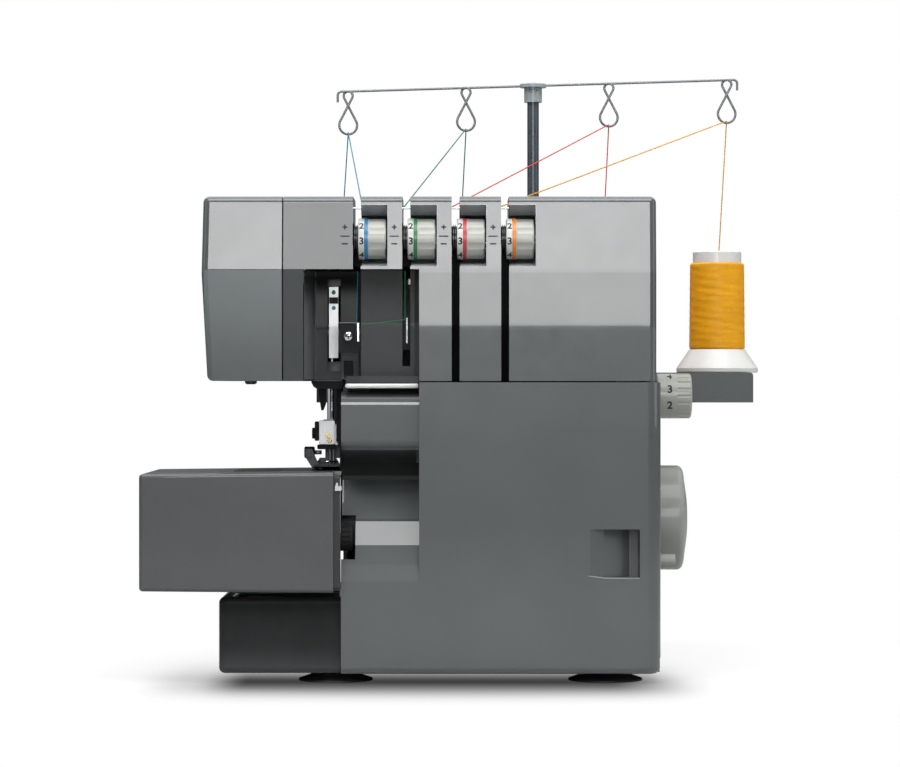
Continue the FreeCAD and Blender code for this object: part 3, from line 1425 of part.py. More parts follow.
def make_take_up():
    """Take-up lever that shows in the threading window, on its pin."""
    lever_front = front + 20
    y, z = take_up_y, take_up_z
    outline = [
        (y, z - 5, QUARTER), (y + 5, z, QUARTER), (y, z + 5), (lever_front + 10, z + 12), (lever_front + 3, z + 27),
        (lever_front, z + 27), (lever_front, z - 16), (lever_front + 2.5, z - 16), (lever_front + 8, z - 5),
    ]
    blade = extrude("take_up_blade", "YZ", outline, d.needle_x - 0.4, as_size(5.6))
    bore = rod("take_up_bore", "X", (d.needle_x - 2, y, z), as_size(10), take_up_pin_r + d.bore_gap)
    eyes = [
        rod(f"take_up_eye_{n}", "Y", (d.needle_x + 2.4, lever_front - 1, z + rise), as_size(5), as_size(0.7))
        for n, rise in enumerate((24.5, 17))
    ]
    beside_knife = box(
        "take_up_narrowing", (
            knife_axis[0] - knife_bar_r - 0.5, d.needle_x + 6
        ), (y - 4, y + 6), (z - 8, z + 9)
    )
    keep(cut("take_up", blade, bore, beside_knife, *eyes), "take_up_lever")
    pin = rod(
        "take_up_axle", "X", (d.needle_x - 10, y, z), as_size(16.5), as_size(take_up_pin_r)
    )
    return pin


def make_extension_table():
    """Slide-off table: a hollow U round the free arm, its front tapering towards the left."""
    top = d.bed_z + 0.3
    taper = d.table_taper
    face = [
        (d.table_left, d.table_low + taper * 0.7), (d.table_right, d.table_low), (d.table_right, top),
        (d.table_left, top - taper),
    ]
    block = extrude("table_block", "XZ", face, d.table_front, d.table_back - d.table_front)
    outer_edges = either(
        straight("Z", x=d.table_left),
        straight("X", y=d.table_front),
        straight("Y", x=d.table_left),
        straight("X", y=d.table_back, z=top - taper / 2),
    )
    skin = rounded("table_rounded", block, as_size(2.2), outer_edges)
    gap = d.slide_gap
    channel_front, channel_back = d.arm_front - gap, d.arm_back + gap
    channel_left = d.arm_left - gap
    past = d.table_right + 1
    low, high = d.table_low - 1, top - taper - d.wall
    channel = box("table_channel", (channel_left, past), (channel_front, channel_back), (low, top + 1))
    inner_left = d.table_left + d.wall
    front_room = box(
        "table_front_room", (inner_left, past), (d.table_front + d.wall, channel_front - d.wall), (low, high)
    )
    back_room = box(
        "table_back_room", (inner_left, past), (channel_back + d.wall, d.table_back - d.wall), (low, high)
    )
    left_room = box(
        "table_left_room", (inner_left, channel_left - d.wall), (
            d.table_front + d.wall, d.table_back - d.wall
        ),
        (low, high),
    )
    bracket_room = box(
        "table_bracket_room", (d.table_right - 12, past), (channel_front - d.wall - 1, channel_front + 1),
        (low, high),
    )
    keep(cut("table", skin, channel, front_room, back_room, left_room, bracket_room), "extension_table")


def make_tension_units():
    """Tension posts, discs and dials in the four slots, with the wire guides above them."""
    y, z = front + d.dial_set, d.dial_z
    posts, discs, hooks = [], [], []
    for n, x in enumerate(slot_centres):
        posts.append(rod(f"post_{n}", "X", (x - half_slot, y, z), half_slot + d.recess_wide, d.post_r))
        for side, start in enumerate((-1.9, -0.7)):
            disc = [
                (d.post_r + d.bore_gap, 0), (d.disc_r - 1.5, 0), (d.disc_r, 0.4), (d.disc_r, 0.9),
                (d.disc_r - 1.5, 0.8), (d.post_r + d.bore_gap, 0.8),
            ]
            discs.append(revolve(f"disc_{n}_{side}", disc, "X", (x + start, y, z)))
        hooks.append(
            rod(f"slot_bar_{n}", "X", (x - half_slot, hook_y, hook_z), d.slot_wide, as_size(slot_bar_r))
        )
        make_dial(n, x, y, z)
    keep(group("posts_and_discs", posts + discs), "tension_units")
    return hooks


hook_y = ridge_back - 2.8
hook_z = d.head_top - 4.4
slot_bar_r = 0.6


def make_dial(n, x, y, z):
    """One tension dial: number ring, coloured ring and a drum with eight shallow grips."""
    bore, ring, r, long = d.post_r + d.bore_gap, d.dial_r, d.dial_r - 0.3, d.dial_long
    outline = [
        (bore, 0), (ring - 0.6, 0), (ring, 0.6), (ring, 3.5), (ring + 0.2, 3.6), (ring + 0.2, 5.8), (r, 5.9),
        (r, long - 1.5, QUARTER), (r - 1.5, long), (bore, long),
    ]
    turned = revolve(f"dial_{n}", outline, "X", (x + d.dial_start, y, z))
    grips = []
    for k in range(8):
        angle = 2 * math.pi * (k + 0.5) / 8
        grips.append(
            rod(
                f"dial_grip_{n}_{k}", "X",
                (x + d.dial_start + 6.6, y + (r + 5.4) * math.cos(angle), z + (r + 5.4) * math.sin(angle)),
                long, as_size(6),
            )
        )
    keep(cut(f"dial_cut_{n}", turned, *grips), f"tension_dial_{DIAL_COLOURS[n]}")


def make_thread_guides(hooks):
    """Guide plate with its screw, the guard beside the needle bar and the wire guide in the panel slot."""
    z = take_up_z - 3
    plate_right = slot_centres[0] + 1.4
    y = front + 14
    plate = box("guide_plate", (plate_right - 12.6, plate_right), (y, y + 1.6), (z - 10, z + 8.6))
    screw = revolve(
        "guide_screw", [(0, -1.8), (1.8, -1.6), (2.7, -0.6), (2.7, 0), (0, 0)], "Y", (plate_right - 6.8, y, z)
    )
    wall_lean = throat_lean / (throat_deep - throat_shallow)
    wall_front = slot_centres[0] + wall_lean * (front + throat_deep - y)
    foot_plan = [
        (plate_right - 1, y), (wall_front, y), (
            wall_front - wall_lean * 8, y + 8
        ), (plate_right - 1.2, y + 8),
    ]
    foot = extrude("guide_foot", "XY", foot_plan, z - 8, as_size(14))
    wire_x = slot_centres[1] + 0.4
    wire = fuse(
        "wire_guide",
        rod("wire_upright", "Z", (wire_x, front + 6.5, z - 4), as_size(15), as_size(0.8)),
        rod("wire_low", "Y", (wire_x, front + 6.5, z - 3.4), as_size(3.6), as_size(0.8)),
        rod("wire_high", "Y", (wire_x, front + 6.5, z + 10), as_size(3.6), as_size(0.8)),
        box(
            "wire_seat", (slot_centres[1] - half_slot, slot_centres[1] + half_slot),
            (front + 9.9, front + 10.9), (z - 8, z + 14),
        ),
    )
    guard_x = d.needle_x - 8.2
    guard = extrude(
        "needle_guard", "XZ",
        [
            (guard_x, head_bottom), (guard_x + 5, head_bottom), (guard_x + 5, head_bottom - 14),
            (guard_x + 3.4, head_bottom - 18), (guard_x + 2, head_bottom - 18), (guard_x, head_bottom - 4),
        ],
        needle_y - 12, as_size(1.6),
    )
    guides = [fuse("guide_whole", plate, screw, foot), wire, guard]
    keep(group("guides", hooks + guides), "thread_guides")


def make_spool_stand():
    """Spool stand behind the machine: shelf, pins, spools and their wound thread."""
    left, right = d.mast_x - d.stand_half, d.mast_x + d.stand_half
    block = box("stand_block", (left, right), (back, d.stand_back), (d.stand_low, d.stand_high))
    corners = either(
        straight("Z", x=left, y=d.stand_back), straight("Z", x=right, y=d.stand_back),
    )
    plan = rounded("stand_plan", block, d.stand_corner, corners)
    shelf = rounded("stand_rounded", plan, as_size(2), lambda edge: abs(edge.CenterOfMass.z - d.stand_high.value) < 0.01
                    and edge.CenterOfMass.y > back.value + 1)
    room = box(
        "stand_room", (left + d.wall, right - d.wall), (back + d.wall, d.stand_back - d.wall),
        (d.stand_low - 1, d.stand_high - d.wall),
    )
    room_round = rounded(
        "stand_room_round", room, d.stand_corner - d.wall,
        either(
            straight("Z", x=left + d.wall, y=d.stand_back - d.wall),
            straight("Z", x=right - d.wall, y=d.stand_back - d.wall),
        ),
    )
    mast_hole = rod(
        "stand_mast_hole", "Z", (d.mast_x, d.mast_y, d.stand_low), d.stand_high - d.stand_low + 1,
        d.mast_tube_r + d.bore_gap,
    )
    boss = rod(
        "stand_boss", "Z", (d.mast_x, d.mast_y, d.stand_low + 2), d.stand_high - d.stand_low - 3, d.mast_tube_r + 3
    )
    keep(
        cut(
            "stand", fuse("stand_shell", cut("stand_hollow", shelf, room_round), boss), mast_hole
        ), "spool_stand"
    )
    pin_tall, flange = 60, 1.6
    pin = [
        (0, 0), (d.spool_core_r - 4, 0), (d.spool_core_r - 4, flange), (d.spool_pin_r + 1, flange),
        (d.spool_pin_r, flange + 6), (
            d.spool_pin_r - 0.4, pin_tall, QUARTER
        ), (0, pin_tall + d.spool_pin_r - 0.4),
    ]
    pins = [revolve(f"pin_{n}", pin, "Z", (x, d.mast_y, d.stand_high)) for n, x in enumerate(spool_places)]
    spools = [make_spool(n, x) for n, x in enumerate(spool_places)]
    keep(group("pins", pins), "spool_pins")
    keep(group("cores", [core for core, wound in spools]), "spool_cores")
    keep(group("packs", [wound for core, wound in spools]), "thread_packs")


def make_spool(n, x):
    """One thread spool: flared foot, core and top collar, and its wound thread."""
    core, base, tall = d.spool_core_r, d.spool_base_r, d.spool_tall
    low, pack = d.spool_pack_low, d.spool_pack_tall
    inner = core - 3.4
    body = revolve(
        f"core_{n}",
        [
            (inner, 0), (base - 1, 0, QUARTER), (base, 1), (base, 3), (d.spool_pack_r + 0.4, low - 0.6),
            (d.spool_pack_r - 0.4, low), (core, low), (core, tall - 1, QUARTER), (core - 1, tall), (inner, tall),
        ],
        "Z", (x, d.mast_y, d.stand_high),
    )
    wound_r, bore = d.spool_pack_r, core + d.bore_gap
    wound = revolve(
        f"wound_{n}",
        [
            (bore, low), (wound_r - 0.6, low), (wound_r, low + 1.4), (
                wound_r - 0.6, low + pack - 1.2, QUARTER
            ),
            (wound_r - 1.8, low + pack), (bore, low + pack),
        ],
        "Z", (x, d.mast_y, d.stand_high),
    )
    return body, wound


def make_mast():
    """Telescoping mast with its cap."""
    fixed = cut(
        "mast_fixed",
        rod(
            "mast_tube", "Z", (d.mast_x, d.mast_y, d.stand_low + 2), d.mast_tube_top - d.stand_low - 2, d.mast_tube_r
        ),
        rod(
            "mast_bore", "Z", (d.mast_x, d.mast_y, d.stand_high), d.mast_tube_top - d.stand_high + 1,
            d.mast_rod_r + d.bore_gap,
        ),
    )
    keep(fixed, "mast_outer_tube")
    keep(
        rod(
            "mast_rod", "Z", (d.mast_x, d.mast_y, d.mast_rod_low), d.mast_cap_low + 6 - d.mast_rod_low, d.mast_rod_r
        ),
        "mast_inner_tube",
    )
    tall, hole = d.mast_cap_tall, d.mast_rod_r + d.bore_gap
    cap = revolve(
        "cap_turned",
        [
            (hole, 0), (5.9, 0), (5.9, tall - 2.6), (8.7, tall - 2.6), (8.7, tall - 0.6), (8.1, tall), (0, tall),
            (0, 6 + d.bore_gap), (hole, 6 + d.bore_gap),
        ],
        "Z", (d.mast_x, d.mast_y, d.mast_cap_low),
    )
    wire_hole = solid(
        "cap_wire_hole", wire_run(bar_point(-20), bar_point(20), d.bar_r.value + d.bore_gap.value)
    )
    keep(cut("mast_cap", cap, wire_hole), "mast_cap")


bar_height = d.mast_cap_low + d.mast_cap_tall - 1.4
bar_middle = d.mast_x + 2.9
eye_places = [
    offset.value for offset in (d.eye_end - d.bar_half, -d.eye_inner, d.eye_inner, d.bar_half - d.eye_end)
]


def bar_point(offset):
    """A point of the guide wire's centre line, at an offset from its middle."""
    middle = vector((bar_middle, d.mast_y, bar_height))
    lean = offset + bar_middle.value - d.mast_x.value
    return middle + FreeCAD.Vector(offset, 0, lean * d.bar_rise.value)


def wire_run(start, end, radius):
    """A straight stretch of round wire."""
    return Part.makeCylinder(radius, (end - start).Length, start, end - start)


def bent_wire(points, bend, radius):
    """One length of round wire through points, its corners bent to a radius."""
    edges = []
    start = points[0]
    for before, corner, after in zip(points, points[1:], points[2:]):
        into, out = (corner - before).normalize(), (after - corner).normalize()
        half_turn = into.getAngle(out) / 2
        short = bend * math.tan(half_turn)
        first, last = corner - into * short, corner + out * short
        inward = (out - into).normalize()
        middle = corner + inward * (bend / math.cos(half_turn) - bend)
        edges += [Part.LineSegment(start, first).toShape(), Part.Arc(first, middle, last).toShape()]
        start = last
    edges.append(Part.LineSegment(start, points[-1]).toShape())
    return wire_along(edges, radius)


def wire_along(edges, radius):
    """Round wire along a path of edges."""
    path = Part.Wire(edges)
    start = path.Edges[0].valueAt(path.Edges[0].FirstParameter)
    direction = path.Edges[0].tangentAt(path.Edges[0].FirstParameter)
    section = Part.Wire([Part.makeCircle(radius, start, direction)])
    return path.makePipeShell([section], True)


def crossed_eye(top, wire):
    """One crossed eye: a small loop under the bar and a large loop below, with the wire passing itself."""
    top_r, low_r = d.eye_small_r.value, d.eye_r.value
    reach = d.eye_drop.value - top_r
    lean = math.acos((top_r + low_r) / reach)
    aside = FreeCAD.Vector(0, wire + 0.1, 0)
    upper = top - FreeCAD.Vector(0, 0, top_r)
    lower = upper - FreeCAD.Vector(0, 0, reach)

    def rim(centre, radius, angle):
        return centre + FreeCAD.Vector(radius * math.sin(angle), 0, radius * math.cos(angle))

    turn = math.pi - lean
    edges = [
        Part.Arc(
            rim(upper, top_r, 0) - aside, rim(upper, top_r, turn / 2) - aside, rim(upper, top_r, turn) - aside
        ),
        Part.LineSegment(rim(upper, top_r, turn) - aside, rim(lower, low_r, -lean) - aside),
        Part.Arc(
            rim(lower, low_r, -lean) - aside, rim(lower, low_r, math.pi), rim(lower, low_r, lean) + aside
        ),
        Part.LineSegment(rim(lower, low_r, lean) + aside, rim(upper, top_r, -turn) + aside),
        Part.Arc(
            rim(upper, top_r, -turn) + aside, rim(upper, top_r, -turn / 2) + aside, rim(upper, top_r, 0) + aside
        ),
    ]
    return wire_along([edge.toShape() for edge in edges], wire)


def make_guide_bar():
    """Guide wire with four crossed eyes and turned-down ends."""
    wire = d.bar_r.value
    half = d.bar_half.value
    drop = FreeCAD.Vector(0, 0, -7)
    left, right = bar_point(-half), bar_point(half)
    bar = bent_wire([left + drop, left, right, right + drop], 2.4, wire)
    eyes = [crossed_eye(bar_point(place_x), wire) for place_x in eye_places]
    keep(solid("guide_wire", bar.multiFuse(eyes)), "thread_guide_bar")


def make_screws():
    """Casing screws: pan heads on the back and one under the end cover."""
    screws = []
    outline = [
        (0, -8), (1.7, -8), (1.7, 0), (3.6, 0), (3.6, 0.8, QUARTER), (2.2, 2), (0, 2),
    ]
    for n, (x, z) in enumerate(rear_screw_places):
        screws.append(revolve(f"rear_screw_{n}", outline, "Y", (x, back, z)))
    under = [(0, 8), (1.7, 8), (1.7, 0), (3.6, 0), (3.6, -1.2), (2.6, -2), (0, -2)]
    screws.append(revolve("end_screw", under, "Z", (d.end_seam - 20, front + 12, head_bottom)))
    keep(group("screws", screws), "casing_screws")


def thread_route(n):
    """The ends of one thread's two runs: spool rim to eye, and eye to the bar in its slot."""
    wire, radius = d.bar_r.value, d.thread_r.value
    eye = bar_point(eye_places[n]) - FreeCAD.Vector(0, 0, d.eye_drop.value + d.eye_r.value)
    behind = eye + FreeCAD.Vector(0, wire + radius + 0.15, 0.6)
    over = eye + FreeCAD.Vector(0, 0, wire + radius + 0.2)
    rim = vector(
        (spool_places[n], d.mast_y + d.spool_core_r - 1.7, d.stand_high + d.spool_tall + radius + 0.1)
    )
    slot = vector((slot_centres[n] + slot_offsets[n], hook_y, hook_z + slot_bar_r + radius + 0.1))
    return rim, behind, over, slot


slot_offsets = [1.9, -2, -2, -2]


def make_threads():
    """Taut threads: from the spools up to the eyes, down to the slots, and on inside the window."""
    radius = d.thread_r.value
    up, down = [], []
    for n in range(len(slot_centres)):
        rim, behind, over, slot = thread_route(n)
        up.append(solid(f"thread_up_{n}", wire_run(rim, behind, radius)))
        down.append(solid(f"thread_down_{n}", wire_run(over, slot, radius)))
    keep(group("threads_up", up), "threads_to_eyes")
    keep(group("threads_down", down), "threads_to_slots")
    guide_z = take_up_z.value + 6
    first = vector((slot_centres[0] + 0.4, front + 12.4, d.crease_z - 1))
    second = vector((slot_centres[1] - 0.8, front + 7.6, d.crease_z - 1))
    legs = [
        (first, FreeCAD.Vector(first.x - 1, first.y + 1.25, guide_z - 4)),
        (second, FreeCAD.Vector(second.x, second.y, guide_z + 1)),
        (
            FreeCAD.Vector(second.x, second.y, guide_z + 0.4), FreeCAD.Vector(
                first.x + 3, first.y - 4, guide_z - 2
            )
        ),
    ]
    inner = [solid(f"thread_inner_{n}", wire_run(start, end, radius)) for n, (start, end) in enumerate(legs)]
    keep(group("threads_inside", inner), "threads_in_window")


def export():
    """Check every object, then write each finished piece."""
    DOC.recompute()
    faults = [item.Name for item in DOC.Objects if "Invalid" in item.State or "Error" in item.State]
    faults += [item.Label for item in KEPT if item.Shape.isNull() or not item.Shape.isValid()]
    if faults:
        raise RuntimeError("these objects failed: " + ", ".join(faults))
    os.makedirs("parts", exist_ok=True)
    for item in KEPT:
        item.Shape.exportStep(f"parts/{item.Label}.step")


make_feet()
make_base_plate()
make_left_base()
make_front_cover()
make_rear_cover()
make_upper_cover()
make_end_cover()
make_threading_panel()
make_head_plate()
make_frame()
make_drive()
make_controls()
make_free_arm()
make_feed()
make_needle_group()
lifter_pin = make_presser()
make_knives()
make_loopers()
take_up_pin = make_take_up()
keep(group("pins_of_levers", [lifter_pin, take_up_pin]), "pivot_pins")
make_extension_table()
make_thread_guides(make_tension_units())
make_spool_stand()
make_mast()
make_guide_bar()
make_screws()
make_threads()
export()
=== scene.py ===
"""Looks of a table-top overlock machine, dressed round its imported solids.

Metres, +Z up, +X to the operator's right, +Y from the operator to the back.
"""

import json
import logging
import math
from dataclasses import dataclass
from enum import Enum
from typing import Any, Callable, Iterable, Sequence

import bmesh
import bpy
from bpy.types import Material, Mesh, Object
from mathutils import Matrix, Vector


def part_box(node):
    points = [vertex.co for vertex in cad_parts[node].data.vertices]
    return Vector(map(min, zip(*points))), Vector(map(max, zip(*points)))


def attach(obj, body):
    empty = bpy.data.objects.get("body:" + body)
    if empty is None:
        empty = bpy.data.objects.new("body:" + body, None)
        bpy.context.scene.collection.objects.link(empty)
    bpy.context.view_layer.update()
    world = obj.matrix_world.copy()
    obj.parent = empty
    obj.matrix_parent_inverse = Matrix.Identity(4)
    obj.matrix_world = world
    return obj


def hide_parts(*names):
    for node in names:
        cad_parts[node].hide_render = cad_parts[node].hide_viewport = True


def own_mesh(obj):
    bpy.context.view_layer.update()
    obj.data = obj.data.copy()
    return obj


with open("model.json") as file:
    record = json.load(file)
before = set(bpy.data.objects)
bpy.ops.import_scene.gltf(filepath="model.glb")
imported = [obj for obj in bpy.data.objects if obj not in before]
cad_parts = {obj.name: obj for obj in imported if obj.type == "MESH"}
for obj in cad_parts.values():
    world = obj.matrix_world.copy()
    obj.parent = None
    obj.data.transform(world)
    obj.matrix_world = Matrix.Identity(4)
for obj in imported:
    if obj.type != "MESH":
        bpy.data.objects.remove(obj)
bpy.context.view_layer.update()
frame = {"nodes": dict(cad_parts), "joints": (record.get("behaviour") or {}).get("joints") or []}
LOG = logging.getLogger("overlock")
MM = 0.001
# Largest factor by which painted light may scale the colour of moulded plastic.
PAINTED_LIGHT_TOP = 6.0
# Middles of the head's four dial slots along X, in millimetres.
SLOT_MIDDLES = (-64.5, -34.8, -5.1, 24.6)
# Height of printed signs over the surface that they are on.
PRINT_LIFT = 0.03 * MM
BLACK = (0.0, 0.0, 0.0)
WHITE = (1.0, 1.0, 1.0)
Colour = tuple[float, float, float]
Point = tuple[float, float, float]
Span = tuple[float, float]
Outline = Sequence[Span]
Box = tuple[Point, Point]
Patch = tuple[Point, Point, float, float]


class Axis(Enum):
    """A direction of the machine's frame."""

    X = Vector((1, 0, 0))
    Y = Vector((0, 1, 0))
    Z = Vector((0, 0, 1))

    def aside(self) -> Vector:
        """A direction square to this one."""
        return Axis.X.value if self is Axis.Z else Axis.Z.value


def joining(operation: str, reflected: bool = False) -> Callable[["Value", Any], "Value"]:
    """Make an operator that joins two values by one Math node.

    Args:
        operation: name of the Math operation.
        reflected: put the other operand first.

    Returns:
        The operator's method.
    """
    def join(value: "Value", other: Any) -> "Value":
        """The joined value."""
        first, second = (other, value) if reflected else (value, other)
        return value.net.node("ShaderNodeMath", {"operation": operation}, {0: first, 1: second})
    return join


class Value:
    """A shader socket whose operators add Math nodes to its network."""

    def __init__(self, net: "Network", socket: bpy.types.NodeSocket) -> None:
        """Hold a socket.

        Args:
            net: network that the socket belongs to.
            socket: output socket that gives the value.
        """
        self.net = net
        self.socket = socket

    __add__ = joining("ADD")
    __radd__ = joining("ADD", reflected=True)
    __sub__ = joining("SUBTRACT")
    __rsub__ = joining("SUBTRACT", reflected=True)
    __mul__ = joining("MULTIPLY")
    __rmul__ = joining("MULTIPLY", reflected=True)
    __truediv__ = joining("DIVIDE")
    __rtruediv__ = joining("DIVIDE", reflected=True)
    __lt__ = joining("LESS_THAN")
    __gt__ = joining("GREATER_THAN")

    def function(self, operation: str) -> "Value":
        """A Math function of this value alone, such as EXPONENT."""
        return self.net.node("ShaderNodeMath", {"operation": operation}, {0: self})


class Network:
    """Shader network of one material."""

    def __init__(self, name: str) -> None:
        """Start an empty material.

        Args:
            name: name of the material.
        """
        self.material = bpy.data.materials.new(name)
        self.material.use_nodes = True
        self.tree = self.material.node_tree
        self.tree.nodes.clear()

    def node(self, kind: str, settings: dict[str, Any], sockets: dict[Any, Any], out: Any = 0) -> Value:
        """Add any node.

        Args:
            kind: type name of the node.
            settings: properties to set first.
            sockets: values or links of its inputs, by name or number.
            out: name or number of the output to return.

        Returns:
            The chosen output.
        """
        made = self.tree.nodes.new(kind)
        for key, setting in settings.items():
            setattr(made, key, setting)
        for key, given in sockets.items():
            if isinstance(given, Value):
                self.tree.links.new(given.socket, made.inputs[key])
            else:
                made.inputs[key].default_value = given
        return Value(self, made.outputs[out])

    def place(self) -> Value:
        """Position in the piece's own frame, in metres."""
        return self.node("ShaderNodeTexCoord", {}, {}, "Object")

    def stretched(self, by: Point) -> Value:
        """Position scaled by a factor along each axis.

        Args:
            by: factors along X, Y and Z.

        Returns:
            The scaled position.
        """
        return self.node("ShaderNodeVectorMath", {"operation": "MULTIPLY"}, {0: self.place(), 1: by})

    def noise(self, size: float, detail: float = 2.0, where: Value | None = None) -> Value:
        """Cloudy noise from 0 to 1.

        Args:
            size: size of a cloud, in metres, or in units of where.
            detail: number of finer octaves.
            where: position to sample, the piece's own frame if left out.

        Returns:
            The noise value.
        """
        sockets = {"Vector": where or self.place(), "Scale": 1.0 / size, "Detail": detail, "Roughness": 0.55}
        return self.node("ShaderNodeTexNoise", {}, sockets)

    def spread(self, value: Value, low: float, high: float, start: float = 0.3, end: float = 0.7) -> Value:
        """Map a value's middle part smoothly to a range.

        Args:
            value: value to map.
            low: result at start.
            high: result at end.
            start: value that gives low.
            end: value that gives high.

        Returns:
            The mapped value.
        """
        sockets = {0: value, 1: start, 2: end, 3: low, 4: high}
        return self.node("ShaderNodeMapRange", {"interpolation_type": "SMOOTHSTEP"}, sockets)

    def mix(self, share: Any, first: Any, second: Any) -> Value:
        """Mix two colours.

        Args:
            share: share of the second colour.
            first: colour at 0.
            second: colour at 1.

        Returns:
            The mixed colour.
        """
        sockets = {0: share, 6: self._opaque(first), 7: self._opaque(second)}
        return self.node("ShaderNodeMix", {"data_type": "RGBA"}, sockets, 2)

    @staticmethod
    def _opaque(colour: Any) -> Any:
        """A colour with its alpha, or a link as it is."""
        return colour if isinstance(colour, Value) else (*colour, 1.0)

    def inside(self, low: Point, high: Point) -> Value:
        """1 inside a box of the piece's own frame, 0 outside it.

        Args:
            low: lowest corner, in millimetres.
            high: highest corner, in millimetres.

        Returns:
            The mask.
        """
        mask: Any = 1.0
        for part, start, end in zip(self.parts(), low, high):
            mask = (part > start * MM) * (part < end * MM) * mask
        return mask

    def parts(self) -> list[Value]:
        """X, Y and Z of the place in the piece's own frame."""
        split = self.node("ShaderNodeSeparateXYZ", {}, {0: self.place()})
        return [Value(self, out) for out in split.socket.node.outputs]

    def bump(self, height: Value, depth: float) -> Value:
        """Normal bent by a relief of a height from 0 to 1 and a depth in metres."""
        return self.node("ShaderNodeBump", {}, {"Height": height, "Distance": depth})

    def surface(self, sockets: dict[str, Any]) -> Material:
        """Close the material with one principled shader, given its inputs."""
        return self.output(self.node("ShaderNodeBsdfPrincipled", {}, sockets))

    def output(self, shader: Value) -> Material:
        """Connect a shader to the material's output.

        Args:
            shader: shader to show.

        Returns:
            The finished material.
        """
        end = self.tree.nodes.new("ShaderNodeOutputMaterial")
        self.tree.links.new(shader.socket, end.inputs["Surface"])
        return self.material


def shade(colour: Colour, factor: float) -> Colour:
    """A colour made darker or lighter by a factor."""
    return tuple(min(1.0, part * factor) for part in colour)


def rectangle(half: float, rise: float) -> Outline:
    """Outline of a rectangle round the origin, from half its width and half its height."""
    return [(-half, -rise), (half, -rise), (half, rise), (-half, rise)]


def circle(radius: float, count: int) -> Outline:
    """Outline of a circle round the origin, with a number of points."""
    turns = [2 * math.pi * step / count for step in range(count)]
    return [(radius * math.cos(turn), radius * math.sin(turn)) for turn in turns]


@dataclass(frozen=True)
class MouldedPlastic:
    """Injection-moulded plastic: soft mottling, a fine grain and a clear sheen over it.

    Each painted shading patch is a box of the piece's own frame, in millimetres, and what the colour is
    multiplied
    by at its bottom and at its top: below 1 it paints shade, cuts the sheen and roughens the surface, above 1
    it paints light.
    """

    colour: Colour
    roughness: float = 0.34
    sheen: float = 1.0
    sheen_roughness: float = 0.02
    grain: float = 0.4 * MM
    relief: float = 0.004 * MM
    shades: tuple[Patch, ...] = ()
    cloud: float = 45 * MM
    speck: float = 1.1 * MM
    smear: float = 9 * MM
    specular: float = 0.25

    def material(self, name: str) -> Material:
        """Build the finish.

        Args:
            name: name of the material.

        Returns:
            The material.
        """
        net = Network(name)
        clouds = net.noise(self.cloud, 3.0)
        painted_share: Any = 1.0
        # Painted shade and painted light: each patch scales the colour between its bottom and top heights.
        if self.shades:
            for low, high, bottom, top in self.shades:
                level = net.spread(net.parts()[2], bottom, top, low[2] * MM, high[2] * MM)
                painted_share = (net.inside(low, high) * (level - 1.0) + 1.0) * painted_share
            dark, light = (shade(self.colour, PAINTED_LIGHT_TOP * factor) for factor in (0.96, 1.04))
            full = net.mix(net.spread(clouds, 0.0, 1.0), dark, light)
            tone = net.mix(painted_share / PAINTED_LIGHT_TOP, BLACK, full)
            painted_share = net.spread(painted_share, 0.0, 1.0, 0.0, 1.0)
        else:
            share = clouds * 0.65 + net.noise(self.speck, 2.0) * 0.35
            tone = net.mix(net.spread(share, 0.0, 1.0), shade(self.colour, 0.94), shade(self.colour, 1.06))
        rub = net.spread(net.noise(self.smear, 4.0), -0.035, 0.045)
        return net.surface({
            "Base Color": tone,
            "Roughness": rub + self.roughness + (1.0 - painted_share) * 0.5,
            "Coat Weight": net.spread(clouds, self.sheen * 0.94, self.sheen) * painted_share,
            "Coat Roughness": self.sheen_roughness,
            "Specular IOR Level": self.specular,
            "Normal": net.bump(net.noise(self.grain, 2.0), self.relief),
        })


@dataclass(frozen=True)
class GroundSteel:
    """Steel ground along one axis, with fine streaks and handling marks."""

    colour: Colour
    roughness: float = 0.28
    along: Axis = Axis.Z
    streak: float = 0.25 * MM

    def material(self, name: str) -> Material:
        """Build the finish.

        Args:
            name: name of the material.

        Returns:
            The material.
        """
        net = Network(name)
        stretch = tuple(1.0 - 0.96 * part for part in self.along.value)
        streaks = net.noise(self.streak, 3.0, net.stretched(stretch))
        marks = net.noise(7 * MM, 4.0)
        tone = net.mix(net.spread(streaks, 0.0, 1.0), shade(self.colour, 0.86), shade(self.colour, 1.08))
        return net.surface({
            "Base Color": tone,
            "Metallic": 1.0,
            "Roughness": net.spread(streaks, -0.06, 0.08) + net.spread(marks, -0.03, 0.05) + self.roughness,
            "Normal": net.bump(streaks, 0.004 * MM),
        })


@dataclass(frozen=True)
class Mottled:
    """Any finish with cloudy colour, uneven roughness and a fine relief."""

    colour: Colour
    roughness: float = 0.4
    cloud: float = 5 * MM
    detail: float = 4.0
    tones: Span = (0.9, 1.1)
    most: float = 1.0
    rub: Span = (-0.05, 0.08)
    rub_on_grain: bool = False
    grain: float = 1.0 * MM
    grain_detail: float = 2.0
    relief: float = 0.0
    metallic: float = 0.0
    sheen: float = 0.0
    sheen_roughness: float = 0.03
    specular: float = 0.5

    def material(self, name: str) -> Material:
        """Build the finish.

        Args:
            name: name of the material.

        Returns:
            The material.
        """
        net = Network(name)
        clouds = net.noise(self.cloud, self.detail)
        grain = net.noise(self.grain, self.grain_detail)
        dark, light = (shade(self.colour, factor) for factor in self.tones)
        sockets = {
            "Base Color": net.mix(net.spread(clouds, 0.0, self.most), dark, light),
            "Metallic": self.metallic,
            "Roughness": net.spread(grain if self.rub_on_grain else clouds, *self.rub) + self.roughness,
            "Specular IOR Level": self.specular,
            "Coat Weight": self.sheen,
            "Coat Roughness": self.sheen_roughness,
        }
        if self.relief:
            sockets["Normal"] = net.bump(grain, self.relief)
        return net.surface(sockets)


